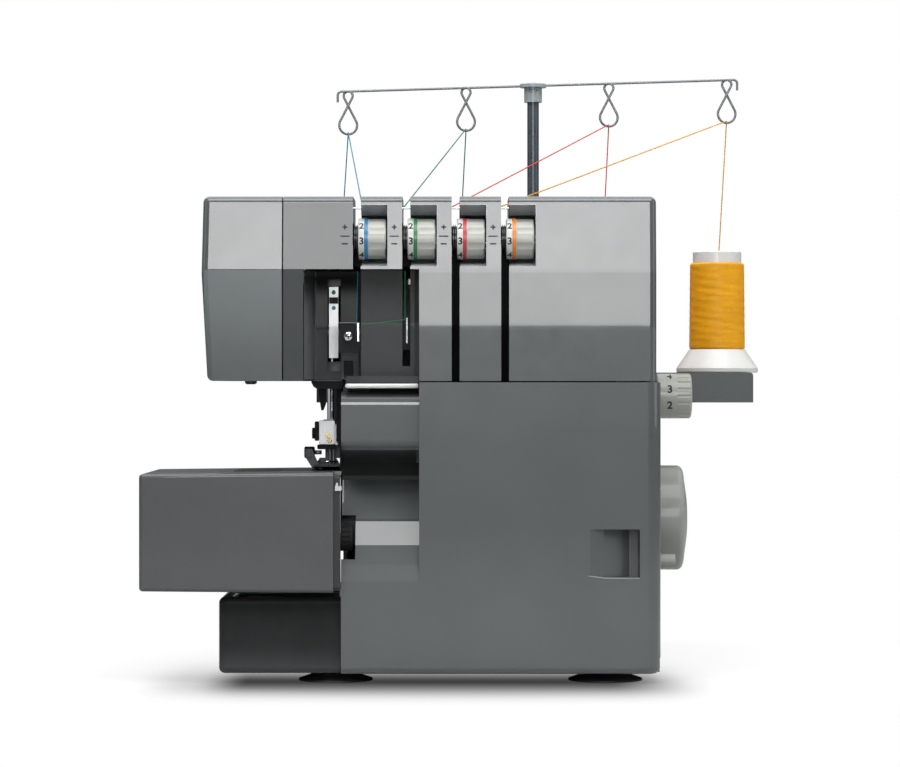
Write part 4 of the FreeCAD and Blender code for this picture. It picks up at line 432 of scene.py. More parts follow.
@dataclass(frozen=True)
class PlatedMetal(Mottled):
    """Bright plated metal with faint smears."""

    roughness: float = 0.09
    tones: Span = (0.92, 1.0)
    rub: Span = (-0.03, 0.06)
    grain: float = 1.6 * MM
    relief: float = 0.003 * MM
    metallic: float = 1.0


@dataclass(frozen=True)
class CastAlloy(Mottled):
    """Sand-cast light alloy: pitted and dull."""

    roughness: float = 0.52
    cloud: float = 18 * MM
    detail: float = 3.0
    tones: Span = (0.82, 1.08)
    rub: Span = (-0.08, 0.1)
    rub_on_grain: bool = True
    grain: float = 0.9 * MM
    grain_detail: float = 4.0
    relief: float = 0.06 * MM
    metallic: float = 0.9


@dataclass(frozen=True)
class Enamel(Mottled):
    """Stoved paint on metal: slight orange peel under a sheen."""

    roughness: float = 0.38
    cloud: float = 12 * MM
    tones: Span = (0.9, 1.14)
    rub: Span = (-0.05, 0.07)
    grain: float = 1.4 * MM
    relief: float = 0.02 * MM
    sheen: float = 0.5
    sheen_roughness: float = 0.12


@dataclass(frozen=True)
class SoftRubber(Mottled):
    """Moulded rubber with a dusty bloom."""

    roughness: float = 0.62
    cloud: float = 6 * MM
    tones: Span = (1.0, 2.4)
    most: float = 0.5
    rub: Span = (-0.08, 0.1)
    grain: float = 0.5 * MM
    grain_detail: float = 3.0
    relief: float = 0.02 * MM


@dataclass(frozen=True)
class PrintedInk(Mottled):
    """Pad-printed ink: flat, a little uneven."""

    roughness: float = 0.45
    cloud: float = 0.8 * MM
    detail: float = 3.0
    tones: Span = (0.85, 1.15)
    specular: float = 0.2


@dataclass(frozen=True)
class SpunThread:
    """Plied sewing thread: strands that catch the light, with darker hollows."""

    colour: Colour
    strand: float = 0.3 * MM
    roughness: float = 0.46

    def material(self, name: str) -> Material:
        """Build the finish.

        Args:
            name: name of the material.

        Returns:
            The material.
        """
        net = Network(name)
        lay = net.stretched((0.25, 0.25, 1.0))
        fibres = net.noise(self.strand * 0.6, 3.0, lay)
        layers = net.noise(2.4 * MM, 3.0, net.stretched((0.12, 0.12, 1.0)))
        share = fibres * 0.6 + layers * 0.4
        dark, light = shade(self.colour, 0.8), shade(self.colour, 1.12)
        tone = net.mix(net.spread(share, 0.0, 1.0, 0.34, 0.62), dark, light)
        return net.surface({
            "Base Color": tone,
            "Roughness": net.spread(fibres, -0.08, 0.1) + self.roughness,
            "Specular IOR Level": 0.25,
            "Normal": net.bump(fibres, 0.03 * MM),
        })


@dataclass(frozen=True)
class PartBlackened:
    """Bright plated hardware whose plates inside given boxes are blackened."""

    boxes: tuple[Box, ...]
    bright: Colour = (0.62, 0.63, 0.64)
    dark: Colour = (0.012, 0.012, 0.013)

    def material(self, name: str) -> Material:
        """Build the finish.

        Args:
            name: name of the material.

        Returns:
            The material.
        """
        net = Network(name)
        mask = sum(net.inside(low, high) for low, high in self.boxes)
        smear = net.noise(4 * MM, 4.0)
        tone = net.mix(net.spread(smear, 0.0, 1.0), shade(self.bright, 0.85), self.bright)
        plated = net.node("ShaderNodeBsdfPrincipled", {}, {
            "Base Color": tone,
            "Metallic": 1.0,
            "Roughness": net.spread(smear, -0.04, 0.07) + 0.16,
        })
        black = net.node("ShaderNodeBsdfPrincipled", {}, {
            "Base Color": net.mix(smear, self.dark, shade(self.dark, 2.0)),
            "Roughness": net.spread(smear, -0.05, 0.08) + 0.7,
            "Specular IOR Level": 0.15,
        })
        return net.output(net.node("ShaderNodeMixShader", {}, {0: mask, 1: plated, 2: black}))


@dataclass(frozen=True)
class BandedDial:
    """Dial plastic whose number ring and colour ring are told apart along X."""

    ring_end: float
    band_end: float
    band: Colour
    ring: Colour = (0.66, 0.67, 0.65)
    drum: Colour = (0.47, 0.475, 0.435)

    def material(self, name: str) -> Material:
        """Build the finish.

        Args:
            name: name of the material.

        Returns:
            The material.
        """
        net = Network(name)
        x, _, _ = net.parts()
        clouds = net.noise(6 * MM, 3.0)
        body = net.mix(x > self.band_end, self.band, self.drum)
        tone = net.mix(x > self.ring_end, self.ring, body)
        worn = net.mix(net.spread(clouds, 0.0, 0.12), tone, (0.2, 0.2, 0.2))
        return net.surface({
            "Base Color": worn,
            "Roughness": net.spread(clouds, -0.04, 0.06) + 0.38,
            "Coat Weight": 0.15,
            "Coat Roughness": 0.08,
            "Normal": net.bump(net.noise(0.5 * MM, 2.0), 0.004 * MM),
        })


def head_patches() -> tuple[Patch, ...]:
    """Painted shade in each dial slot, on the head's left end and along its fold, and painted light in the
    pockets round the dials.

    Returns:
        The patches.
    """
    # Painted shade: each dial slot is made nearly black.
    slots = tuple(((x - 2.55, -122.5, 180), (x + 2.55, -60, 277), 0.05, 0.05) for x in SLOT_MIDDLES)
    shaded = (
        ((-112, -140, 170), (-67.1, -60, 289), 0.58, 0.62),
        ((-42, -140, 214), (117, -100, 247), 0.78, 0.8),
    )
    painted_light_wells = tuple(
        ((x + 3.0, -120.8, low), (x + 18.8, -60, low + 9), lift, lift)
        for x in SLOT_MIDDLES
        for low, lift in ((247.5, 5.5), (279.0, 2.6))
    )
    return slots + shaded + painted_light_wells


class Patches:
    """Painted shade and painted light on the other covers, named after the finish that has them."""

    # Front cover: painted light and painted shade inside the waste scoop, painted shade on the wall and top
    # of the notch, and painted shade over a bright line on the scoop's nose.
    FRONT: tuple[Patch, ...] = (
        ((-74.5, -121, 98.5), (-20, -80, 115), 1.35, 1.75),
        ((-74.5, -121, 115), (-20, -80, 121.5), 1.75, 0.9),
        ((-74.5, -121, 121.5), (-20, -80, 132), 0.12, 0.1),
        ((-74.5, -124, 132), (-29, -80, 146), 0.12, 1.0),
        ((104.7, -123.6, 60), (107, -90, 94), 0.6, 0.45),
        ((84, -123.6, 84), (104.7, -90, 94), 1.0, 0.5),
        ((-74.5, -124, 170.4), (-20, -80, 176), 0.45, 0.4),
    )
    # Left base cover: painted shadow of the extension table, darker towards the top.
    BASE: tuple[Patch, ...] = (
        ((-150, -130, 0), (-70, -118, 26), 0.5, 0.18),
        ((-150, -130, 26), (-70, -118, 60), 0.18, 0.07),
    )
    # End cover: painted light on its lower part, lighter towards the top.
    END: tuple[Patch, ...] = (((-156, -140, 180), (-100, -70, 248.5), 1.15, 1.85),)
    # Threading window: painted light on its left wall and lower panel, painted shade high up under the head.
    WINDOW: tuple[Patch, ...] = (
        ((-97, -122, 178), (-90, -94, 225), 3.4, 3.2),
        ((-97, -122, 225), (-90, -94, 245), 3.2, 0.3),
        ((-90, -101, 178), (-62.6, -94, 213), 1.3, 1.8),
        ((-90, -101, 229), (-62.6, -94, 243), 1.0, 0.08),
        ((-90, -101, 243), (-62.6, -94, 252), 0.1, 0.4),
        ((-74.5, -101, 178), (-62.6, -94, 202), 2.0, 2.0),
        ((-62.6, -122, 178), (-27, -109, 217), 1.3, 1.4),
        ((-62.6, -122, 217), (-27, -109, 249), 0.75, 0.5),
    )


class ThreadShade(Enum):
    """Thread colours, from the left spool to the right one."""

    BLUE = (0.01, 0.2, 0.3)
    GREEN = (0.01, 0.17, 0.06)
    RED = (0.72, 0.04, 0.04)
    YELLOW = (0.8, 0.36, 0.006)


class BandShade(Enum):
    """Colour bands of the tension dials, from the left."""

    BLUE = (0.0, 0.17, 0.36)
    GREEN = (0.0, 0.18, 0.04)
    RED = (0.52, 0.012, 0.02)
    ORANGE = (0.74, 0.22, 0.006)


class Palette:
    """The machine's finishes, one material each."""

    body: Colour = (0.086, 0.095, 0.097)
    black_plates: tuple[Box, ...] = (
        ((-80, -112, 190), (-60, -100, 220)),
        ((-95, -90, 160), (-83, -70, 184)),
        ((-40, -114.5, 195), (-30, -110, 230)),
    )

    def __init__(self) -> None:
        """Build every material once."""
        self._covers()
        self._plastics()
        self._metals()
        self.rubber = SoftRubber((0.014, 0.014, 0.015)).material("foot_rubber")
        self.ink = PrintedInk((0.02, 0.022, 0.026)).material("black_ink")
        self.sign = PrintedInk((0.022, 0.026, 0.036), roughness=0.7).material("grey_ink")
        self.threads = {
            colour: SpunThread(colour.value).material(f"thread_{colour.name.lower()}")
            for colour in ThreadShade
        }

    def _covers(self) -> None:
        """Grey plastic of the covers and the table."""
        self.casing = MouldedPlastic(self.body).material("casing_grey")
        self.head = MouldedPlastic(self.body, shades=head_patches()).material("head_grey")
        self.front = MouldedPlastic(self.body, shades=Patches.FRONT).material("front_grey")
        self.base = MouldedPlastic(self.body, shades=Patches.BASE).material("base_grey")
        self.end = MouldedPlastic(self.body, shades=Patches.END).material("end_grey")
        self.table = MouldedPlastic((0.077, 0.081, 0.084), sheen=0.45).material("table_grey")
        window = MouldedPlastic((0.036, 0.038, 0.04), roughness=0.6, sheen=0.08, shades=Patches.WINDOW)
        self.window = window.material("window_grey")

    def _plastics(self) -> None:
        """Plastic of the controls, the spools and the small fittings."""
        self.matte = MouldedPlastic((0.008, 0.008, 0.009), roughness=0.7, sheen=0.0).material("matte_black")
        self.black = MouldedPlastic((0.012, 0.012, 0.013), roughness=0.4).material("black_plastic")
        self.dial = MouldedPlastic((0.38, 0.39, 0.355), roughness=0.42, sheen=0.3).material("dial_grey")
        self.wheel = MouldedPlastic((0.31, 0.325, 0.30), roughness=0.4, sheen=0.2).material("wheel_grey")
        self.ring = MouldedPlastic((0.74, 0.75, 0.72), roughness=0.3).material("number_ring")
        self.white = MouldedPlastic((0.68, 0.68, 0.66), roughness=0.4, sheen=0.3).material("spool_white")
        self.lever = MouldedPlastic((0.82, 0.83, 0.83), roughness=0.3).material("lever_white")
        self.cap = MouldedPlastic((0.3, 0.34, 0.35), roughness=0.42, sheen=0.3).material("cap_grey")
        self.wire = MouldedPlastic((0.17, 0.18, 0.19), roughness=0.3, sheen=0.6).material("guide_wire")

    def _metals(self) -> None:
        """Steel, plating, bronze, alloy and painted metal."""
        self.dark_steel = GroundSteel((0.11, 0.112, 0.115), roughness=0.34).material("dark_steel")
        self.blued = GroundSteel((0.035, 0.036, 0.038), roughness=0.3).material("blued_steel")
        self.steel = GroundSteel((0.34, 0.35, 0.35), roughness=0.34).material("ground_steel")
        self.posts = GroundSteel((0.06, 0.06, 0.06), along=Axis.X).material("post_steel")
        self.bronze = GroundSteel((0.5, 0.36, 0.16), along=Axis.X).material("bush_bronze")
        self.chrome = PlatedMetal((0.66, 0.67, 0.68)).material("bright_plate")
        self.gilt = PlatedMetal((0.72, 0.55, 0.28), roughness=0.16).material("gilt_screw")
        self.guides = PartBlackened(self.black_plates).material("guide_hardware")
        self.alloy = CastAlloy((0.42, 0.43, 0.44)).material("cast_alloy")
        # A dark enamel, kept nearly black with little sheen so that on the main frame it also paints the
        # shade seen through the take-up lever's slot.
        self.dark_metal = Enamel((0.01, 0.01, 0.011), sheen=0.05).material("dark_enamel")
        self.mast = Enamel((0.04, 0.055, 0.068), sheen=0.3).material("mast_enamel")


class Bench:
    """Mesh tools shared by the sub-assemblies; the shares are of a piece's radius, size or height."""

    text_size: float = 1.37
    text_weight: float = 0.036
    slot_share: float = 0.16
    head_ease: float = 0.22
    head_base: float = 0.4
    knob_ease: float = 0.16
    rib_depth: float = 0.045

    @staticmethod
    def piece(name: str, points: Sequence, faces: Sequence, smooth: bool = True) -> Object:
        """Make a mesh object from points and faces.

        Args:
            name: name of the piece.
            points: vertex positions, in metres.
            faces: vertex numbers of each face.
            smooth: shade the faces smoothly.

        Returns:
            The linked object.
        """
        mesh = bpy.data.meshes.new(name)
        mesh.from_pydata([tuple(point) for point in points], [], [tuple(face) for face in faces])
        mesh.validate()
        work = bmesh.new()
        work.from_mesh(mesh)
        bmesh.ops.recalc_face_normals(work, faces=work.faces)
        work.to_mesh(mesh)
        work.free()
        for polygon in mesh.polygons:
            polygon.use_smooth = smooth
        return Bench.link(name, mesh)

    @staticmethod
    def link(name: str, data: bpy.types.ID) -> Object:
        """Put data in the scene as an object.

        Args:
            name: name of the object.
            data: mesh, curve, lamp or camera to show.

        Returns:
            The linked object.
        """
        made = bpy.data.objects.new(name, data)
        bpy.context.scene.collection.objects.link(made)
        return made

    @staticmethod
    def band(here: int, there: int, sides: int) -> list[tuple[int, ...]]:
        """Quads between two closed rings of points, from each ring's first number."""
        nexts = [(step + 1) % sides for step in range(sides)]
        return [(here + step, here + nxt, there + nxt, there + step) for step, nxt in enumerate(nexts)]

    @staticmethod
    def lathe(name: str, profile: Outline, axis: Axis, start: Sequence[float], sides: int) -> Object:
        """Turn a closed profile about an axis.

        Args:
            name: name of the piece.
            profile: closed outline of (radius, distance along the axis).
            axis: direction of the axis.
            start: point of the axis at distance 0.
            sides: number of steps round.

        Returns:
            The turned piece.
        """
        along = axis.value
        first = axis.aside()
        second = along.cross(first)
        rows = len(profile)
        points = []
        for step in range(sides):
            turn = 2 * math.pi * step / sides
            radial = first * math.cos(turn) + second * math.sin(turn)
            points += [Vector(start) + radial * radius + along * distance for radius, distance in profile]
        faces = []
        for step in range(sides):
            faces += Bench.band(step * rows, (step + 1) % sides * rows, rows)
        return Bench.welded(Bench.piece(name, points, faces))

    @staticmethod
    def welded(piece: Object, reach: float = 0.002 * MM) -> Object:
        """Merge points that coincide, such as those on a turning axis.

        Args:
            piece: piece to mend.
            reach: distance within which points merge.

        Returns:
            The same piece.
        """
        work = bmesh.new()
        work.from_mesh(piece.data)
        bmesh.ops.remove_doubles(work, verts=work.verts, dist=reach)
        bmesh.ops.dissolve_degenerate(work, edges=work.edges, dist=reach)
        bmesh.ops.recalc_face_normals(work, faces=work.faces)
        work.to_mesh(piece.data)
        work.free()
        return piece

    @staticmethod
    def tube(name: str, line: Sequence[Vector], radius: float, sides: int = 10) -> Object:
        """A round tube with closed ends along a line of points.

        Args:
            name: name of the piece.
            line: points of the centre line.
            radius: radius of the tube.
            sides: number of sides.

        Returns:
            The tube.
        """
        points, faces = [], []
        side = None
        for number, here in enumerate(line):
            before, after = line[max(number - 1, 0)], line[min(number + 1, len(line) - 1)]
            ahead = (after - before).normalized()
            side = ahead.orthogonal() if side is None else side - ahead * side.dot(ahead)
            side = side.normalized()
            up = ahead.cross(side)
            points += [here + side * u + up * v for u, v in circle(radius, sides)]
        for number in range(len(line) - 1):
            faces += Bench.band(number * sides, (number + 1) * sides, sides)
        faces.append(tuple(range(sides)))
        faces.append(tuple(range(len(points) - sides, len(points))))
        return Bench.piece(name, points, faces)

    @staticmethod
    def flat_text(words: str, size: float, depth: float) -> Mesh:
        """A plain sign or number as a thin mesh in the XY plane, centred.

        Args:
            words: characters to write.
            size: height of a digit, in metres.
            depth: thickness, in metres.

        Returns:
            The mesh.
        """
        curve = bpy.data.curves.new("sign", "FONT")
        curve.body = words
        curve.size = size * Bench.text_size
        curve.align_x = "CENTER"
        curve.align_y = "CENTER"
        curve.extrude = depth / 2
        curve.offset = size * Bench.text_weight
        curve.resolution_u = 5
        holder = Bench.link("sign", curve)
        graph = bpy.context.evaluated_depsgraph_get()
        mesh = bpy.data.meshes.new_from_object(holder.evaluated_get(graph))
        bpy.data.objects.remove(holder)
        bpy.data.curves.remove(curve)
        return mesh

    @staticmethod
    def reshaped(name: str, mesh: Mesh, move: Callable[[Vector], Vector]) -> Object:
        """Place a mesh by moving each of its points.

        Args:
            name: name of the piece.
            mesh: mesh to place.
            move: gives a point's new position.

        Returns:
            The placed piece.
        """
        for vertex in mesh.vertices:
            vertex.co = move(vertex.co.copy())
        mesh.update()
        mesh.name = name
        return Bench.link(name, mesh)

    @staticmethod
    def joined(name: str, pieces: Sequence[Object]) -> Object:
        """Join several meshes into one piece.

        Args:
            name: name of the result.
            pieces: meshes to join.

        Returns:
            The joined piece.
        """
        work = bmesh.new()
        for part in pieces:
            work.from_mesh(part.data)
        mesh = bpy.data.meshes.new(name)
        work.to_mesh(mesh)
        work.free()
        for part in pieces:
            bpy.data.objects.remove(part)
        return Bench.link(name, mesh)

    @staticmethod
    def prism(
        name: str,
        outline: Outline,
        spot: Sequence[float],
        across: Vector,
        up: Vector,
        depth: float,
        ease: float = 0.0,
    ) -> Object:
        """Push a flat outline to a thickness, with an eased front edge.

        Args:
            name: name of the piece.
            outline: points across and up from the spot, in metres.
            spot: middle of the back face.
            across: direction of the outline's first number.
            up: direction of its second number.
            depth: thickness towards across x up.
            ease: width of the eased front edge.

        Returns:
            The piece.
        """
        out = across.cross(up)
        count = len(outline)
        middle = Vector((sum(u for u, _ in outline) / count, sum(v for _, v in outline) / count))
        points, faces = [], []
        for level, inset in ((0.0, 0.0), (depth - ease, 0.0), (depth, ease)):
            for u, v in outline:
                way = Vector((u, v)) - middle
                flat = middle + way * max(0.0, 1 - inset / max(way.length, 1e-9))
                points.append(Vector(spot) + across * flat.x + up * flat.y + out * level)
        for ring in (0, count):
            faces += Bench.band(ring, ring + count, count)
        faces.append(tuple(range(count)))
        faces.append(tuple(range(2 * count, 3 * count)))
        return Bench.piece(name, points, faces, False)

    @staticmethod
    def plate(name: str, outline: Outline, spot: Point, depth: float, ease: float) -> Object:
        """A flat plate that faces the operator, with every size in millimetres.

        Args:
            name: name of the piece.
            outline: points across and up from the spot.
            spot: middle of the back face.
            depth: thickness.
            ease: width of the eased front edge.

        Returns:
            The plate.
        """
        points = [(u * MM, v * MM) for u, v in outline]
        return Bench.prism(name, points, Vector(spot) * MM, Axis.X.value, Axis.Z.value, depth * MM, ease * MM)

    @staticmethod
    def slotted_head(name: str, spot: Vector, radius: float, tall: float, turn: float) -> Object:
        """Screw head that faces the operator: two half discs with a slot between them, on a base disc.

        Args:
            name: name of the piece.
            spot: middle of its seat.
            radius: radius of the head.
            tall: height of the head.
            turn: angle of the slot, in radians.

        Returns:
            The head.
        """
        along = Vector((math.cos(turn), 0, math.sin(turn)))
        aside = Vector((-math.sin(turn), 0, math.cos(turn)))
        start = math.asin(Bench.slot_share)
        arc = [start + (math.pi - 2 * start) * step / 14 for step in range(15)]
        lobe = [(radius * math.cos(a), radius * math.sin(a)) for a in arc]
        ease = radius * Bench.head_ease
        halves = [Bench.prism("half", lobe, spot, along * sign, aside * sign, tall, ease) for sign in (1, -1)]
        base = Bench.prism("base", circle(radius, 24), spot, along, aside, tall * Bench.head_base)
        return Bench.joined(name, halves + [base])

    @staticmethod
    def knurled(name: str, start: Vector, axis: Axis, radius: float, length: float, ribs: int) -> Object:
        """A ribbed knob with eased ends.

        Args:
            name: name of the piece.
            start: middle of its first end.
            axis: direction of its length.
            radius: radius over the ribs.
            length: length.
            ribs: number of ribs round it.

        Returns:
            The knob.
        """
        ease = min(radius, length) * Bench.knob_ease
        profile = [(0, 0), (radius - ease, 0), (radius, ease)]
        profile += [(reach, length - rise) for reach, rise in reversed(profile)]
        knob = Bench.lathe(name, profile, axis, start, ribs * 4)
        first = axis.aside()
        for vertex in knob.data.vertices:
            way = vertex.co - start
            way -= axis.value * way.dot(axis.value)
            if way.length > radius * 0.9:
                angle = math.atan2(way.dot(axis.value.cross(first)), way.dot(first))
                vertex.co -= way.normalized() * radius * Bench.rib_depth * (1 - math.cos(angle * ribs))
        for polygon in knob.data.polygons:
            polygon.use_smooth = False
        return knob

    @staticmethod
    def wrapped_text(name: str, words: str, size: float, spot: Vector, radius: float, angle: float) -> Object:
        """A number printed on a drum that turns about X.

        Args:
            name: name of the piece.
            words: characters to print.
            size: height of a digit.
            spot: point of the drum's axis level with the middle of the number.
            radius: radius of the drum.
            angle: degrees up from the drum's front.

        Returns:
            The printed number.
        """
        def bend(point: Vector) -> Vector:
            """Carry a point of the flat number to the drum.

            Args:
                point: point of the number.

            Returns:
                The point on the drum.
            """
            turn = math.radians(angle) + point.y / radius
            reach = radius + PRINT_LIFT + point.z
            out, rise = reach * math.cos(turn), reach * math.sin(turn)
            return Vector((spot.x + point.x, spot.y - out, spot.z + rise))
        return Bench.reshaped(name, Bench.flat_text(words, size, 0.05 * MM), bend)


def dress(node: str, material: Material) -> None:
    """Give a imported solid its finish.

    Args:
        node: name of the solid.
        material: finish to use.
    """
    solid = frame["nodes"][node]
    solid.data.materials.clear()
    solid.data.materials.append(material)
    LOG.info("dressed %s", node)


def seat(
    piece: Object,
    body: str,
    material: Material,
    stands_for: Iterable[str] = (),
) -> None:
    """Finish a piece and let it move with a body.

    Args:
        piece: the piece.
        body: body that carries it.
        material: finish to use.
        stands_for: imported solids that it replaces.
    """
    piece.data.materials.clear()
    piece.data.materials.append(material)
    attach(piece, body)
    if stands_for:
        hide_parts(*stands_for)
    LOG.info("made %s on %s", piece.name, body)


def joint_place(name: str) -> Vector:
    """A point on a joint's axis, from the frame."""
    found = next(joint for joint in frame["joints"] if joint["name"] == name)
    return Vector(found["pos_m"])


@dataclass(frozen=True)
class FloorShadow:
    """A soft shadow painted on the floor: a hump along Y that fades out at two ends along X, in metres."""

    middle: float
    width: float
    depth: float
    left: Span
    right: Span

    def share(self, net: Network) -> Value:
        """Share of the light that the shadow takes away.

        Args:
            net: network of the floor's material.

        Returns:
            The share.
        """
        x, y, _ = net.parts()
        away = (y - self.middle) / self.width
        hump = (away * away * -0.5).function("EXPONENT")
        return hump * net.spread(x, 0.0, self.depth, *self.left) * net.spread(x, 1.0, 0.0, *self.right)


@dataclass
class Studio:
    """Camera, soft lights and the pale floor."""

    eye: Point = (-0.0085, -2.124, 0.1803)
    lens: float = 133.3
    surroundings: tuple[Colour, float] = ((0.93, 0.97, 1.0), 0.16)
    card_low: float = 0.25
    card_high: float = 0.98
    card_wide: float = 0.72
    card_power: float = 15
    boxes: tuple[tuple[str, Point, Point, Span, float], ...] = (
        ("top_box", (0, -0.75, 1.5), (0, -0.1, 0.15), (1.7, 1.0), 30),
        ("back_box", (0, 0.55, 1.3), (0, 0.1, 0.2), (2.2, 1.5), 16),
        ("left_box", (-1.5, -0.5, 0.7), (0, 0, 0.15), (0.7, 1.2), 2.5),
        ("right_box", (1.5, -0.5, 0.7), (0, 0, 0.15), (0.7, 1.2), 4),
    )
    floor_reach: float = 12.0
    floor_fade: Span = (0.17, 0.36)
    deep: FloorShadow = FloorShadow(-0.110, 0.055, 0.9, (-0.165, -0.13), (0.085, 0.14))
    wide: FloorShadow = FloorShadow(-0.135, 0.062, 0.34, (-0.205, -0.16), (0.11, 0.16))

    def build(self) -> None:
        """Set up the whole stage."""
        self._camera()
        self._world()
        self._lamps()
        self._floor()

    def _camera(self) -> None:
        """Level camera in front of the machine."""
        camera = bpy.data.cameras.new("camera")
        camera.lens = self.lens
        holder = Bench.link("camera", camera)
        holder.location = self.eye
        holder.rotation_euler = (math.radians(90), 0, 0)
        bpy.context.scene.camera = holder
        bpy.context.scene.view_settings.view_transform = "Standard"

    def _world(self) -> None:
        """Even grey surroundings that read as white behind the machine."""
        world = bpy.data.worlds.new("surroundings")
        bpy.context.scene.world = world
        world.use_nodes = True
        nodes, links = world.node_tree.nodes, world.node_tree.links
        nodes.clear()
        path = nodes.new("ShaderNodeLightPath")
        mixer, out = nodes.new("ShaderNodeMixShader"), nodes.new("ShaderNodeOutputWorld")
        links.new(path.outputs["Is Camera Ray"], mixer.inputs[0])
        for number, (colour, strength) in enumerate((self.surroundings, (WHITE, 1.0)), 1):
            sky = nodes.new("ShaderNodeBackground")
            sky.inputs["Color"].default_value = (*colour, 1.0)
            sky.inputs["Strength"].default_value = strength
            links.new(sky.outputs[0], mixer.inputs[number])
        links.new(mixer.outputs[0], out.inputs[0])

    def _lamps(self) -> None:
        """A card over the camera that only reflections show, and soft boxes round the machine."""
        middle = (self.card_low + self.card_high) / 2
        at, towards = (0, self.eye[1] - 0.02, middle), (0, self.eye[1] + 1, middle)
        size = (self.card_wide, self.card_high - self.card_low)
        card = self._box("front_card", at, towards, size, self.card_power)
        card.visible_diffuse = False
        for box in self.boxes:
            self._box(*box)

    @staticmethod
    def _box(name: str, at: Point, towards: Point, size: Span, power: float) -> Object:
        """One rectangular soft box.

        Args:
            name: name of the lamp.
            at: its centre.
            towards: point that it faces.
            size: width and height.
            power: power in watts.

        Returns:
            The lamp's object.
        """
        lamp = bpy.data.lights.new(name, "AREA")
        lamp.shape = "RECTANGLE"
        lamp.size, lamp.size_y = size
        lamp.energy = power
        holder = Bench.link(name, lamp)
        holder.location = at
        aim = Vector(towards) - Vector(at)
        holder.rotation_euler = aim.to_track_quat("-Z", "Y").to_euler()
        return holder

    def _floor(self) -> None:
        """Pale floor that keeps a faint cast shadow of the machine, with soft shadows painted into its colour
        and glow.
        """
        corners = [(u, v, 0) for u, v in rectangle(self.floor_reach, self.floor_reach)]
        floor = Bench.piece("floor", corners, [(0, 1, 2, 3)])
        net = Network("floor_white")
        seen = net.node("ShaderNodeLightPath", {}, {}, "Is Camera Ray")
        light = (1.0 - self.deep.share(net)) * (1.0 - self.wide.share(net))
        lit = net.node("ShaderNodeBsdfDiffuse", {}, {"Color": net.mix(light, BLACK, (0.22, 0.22, 0.22))})
        glow = net.node("ShaderNodeEmission", {}, {"Color": net.mix(light, BLACK, (0.76, 0.76, 0.76))})
        near = net.node("ShaderNodeAddShader", {}, {0: lit, 1: glow})
        bright = net.node("ShaderNodeEmission", {}, {"Color": (*WHITE, 1.0)})
        flat = net.stretched((0.8, 1.0, 0.0))
        away = net.node("ShaderNodeVectorMath", {"operation": "LENGTH"}, {0: flat}, "Value")
        fade = net.spread(away, 0.0, 1.0, *self.floor_fade)
        both = net.node("ShaderNodeMixShader", {}, {0: fade, 1: near, 2: bright})
        plain = net.node("ShaderNodeBsdfDiffuse", {}, {"Color": (0.6, 0.6, 0.6, 1.0)})
        shader = net.node("ShaderNodeMixShader", {}, {0: seen, 1: plain, 2: both})
        floor.data.materials.append(net.output(shader))


@dataclass
class Assembly:
    """A sub-assembly that takes its finishes from the palette."""

    palette: Palette


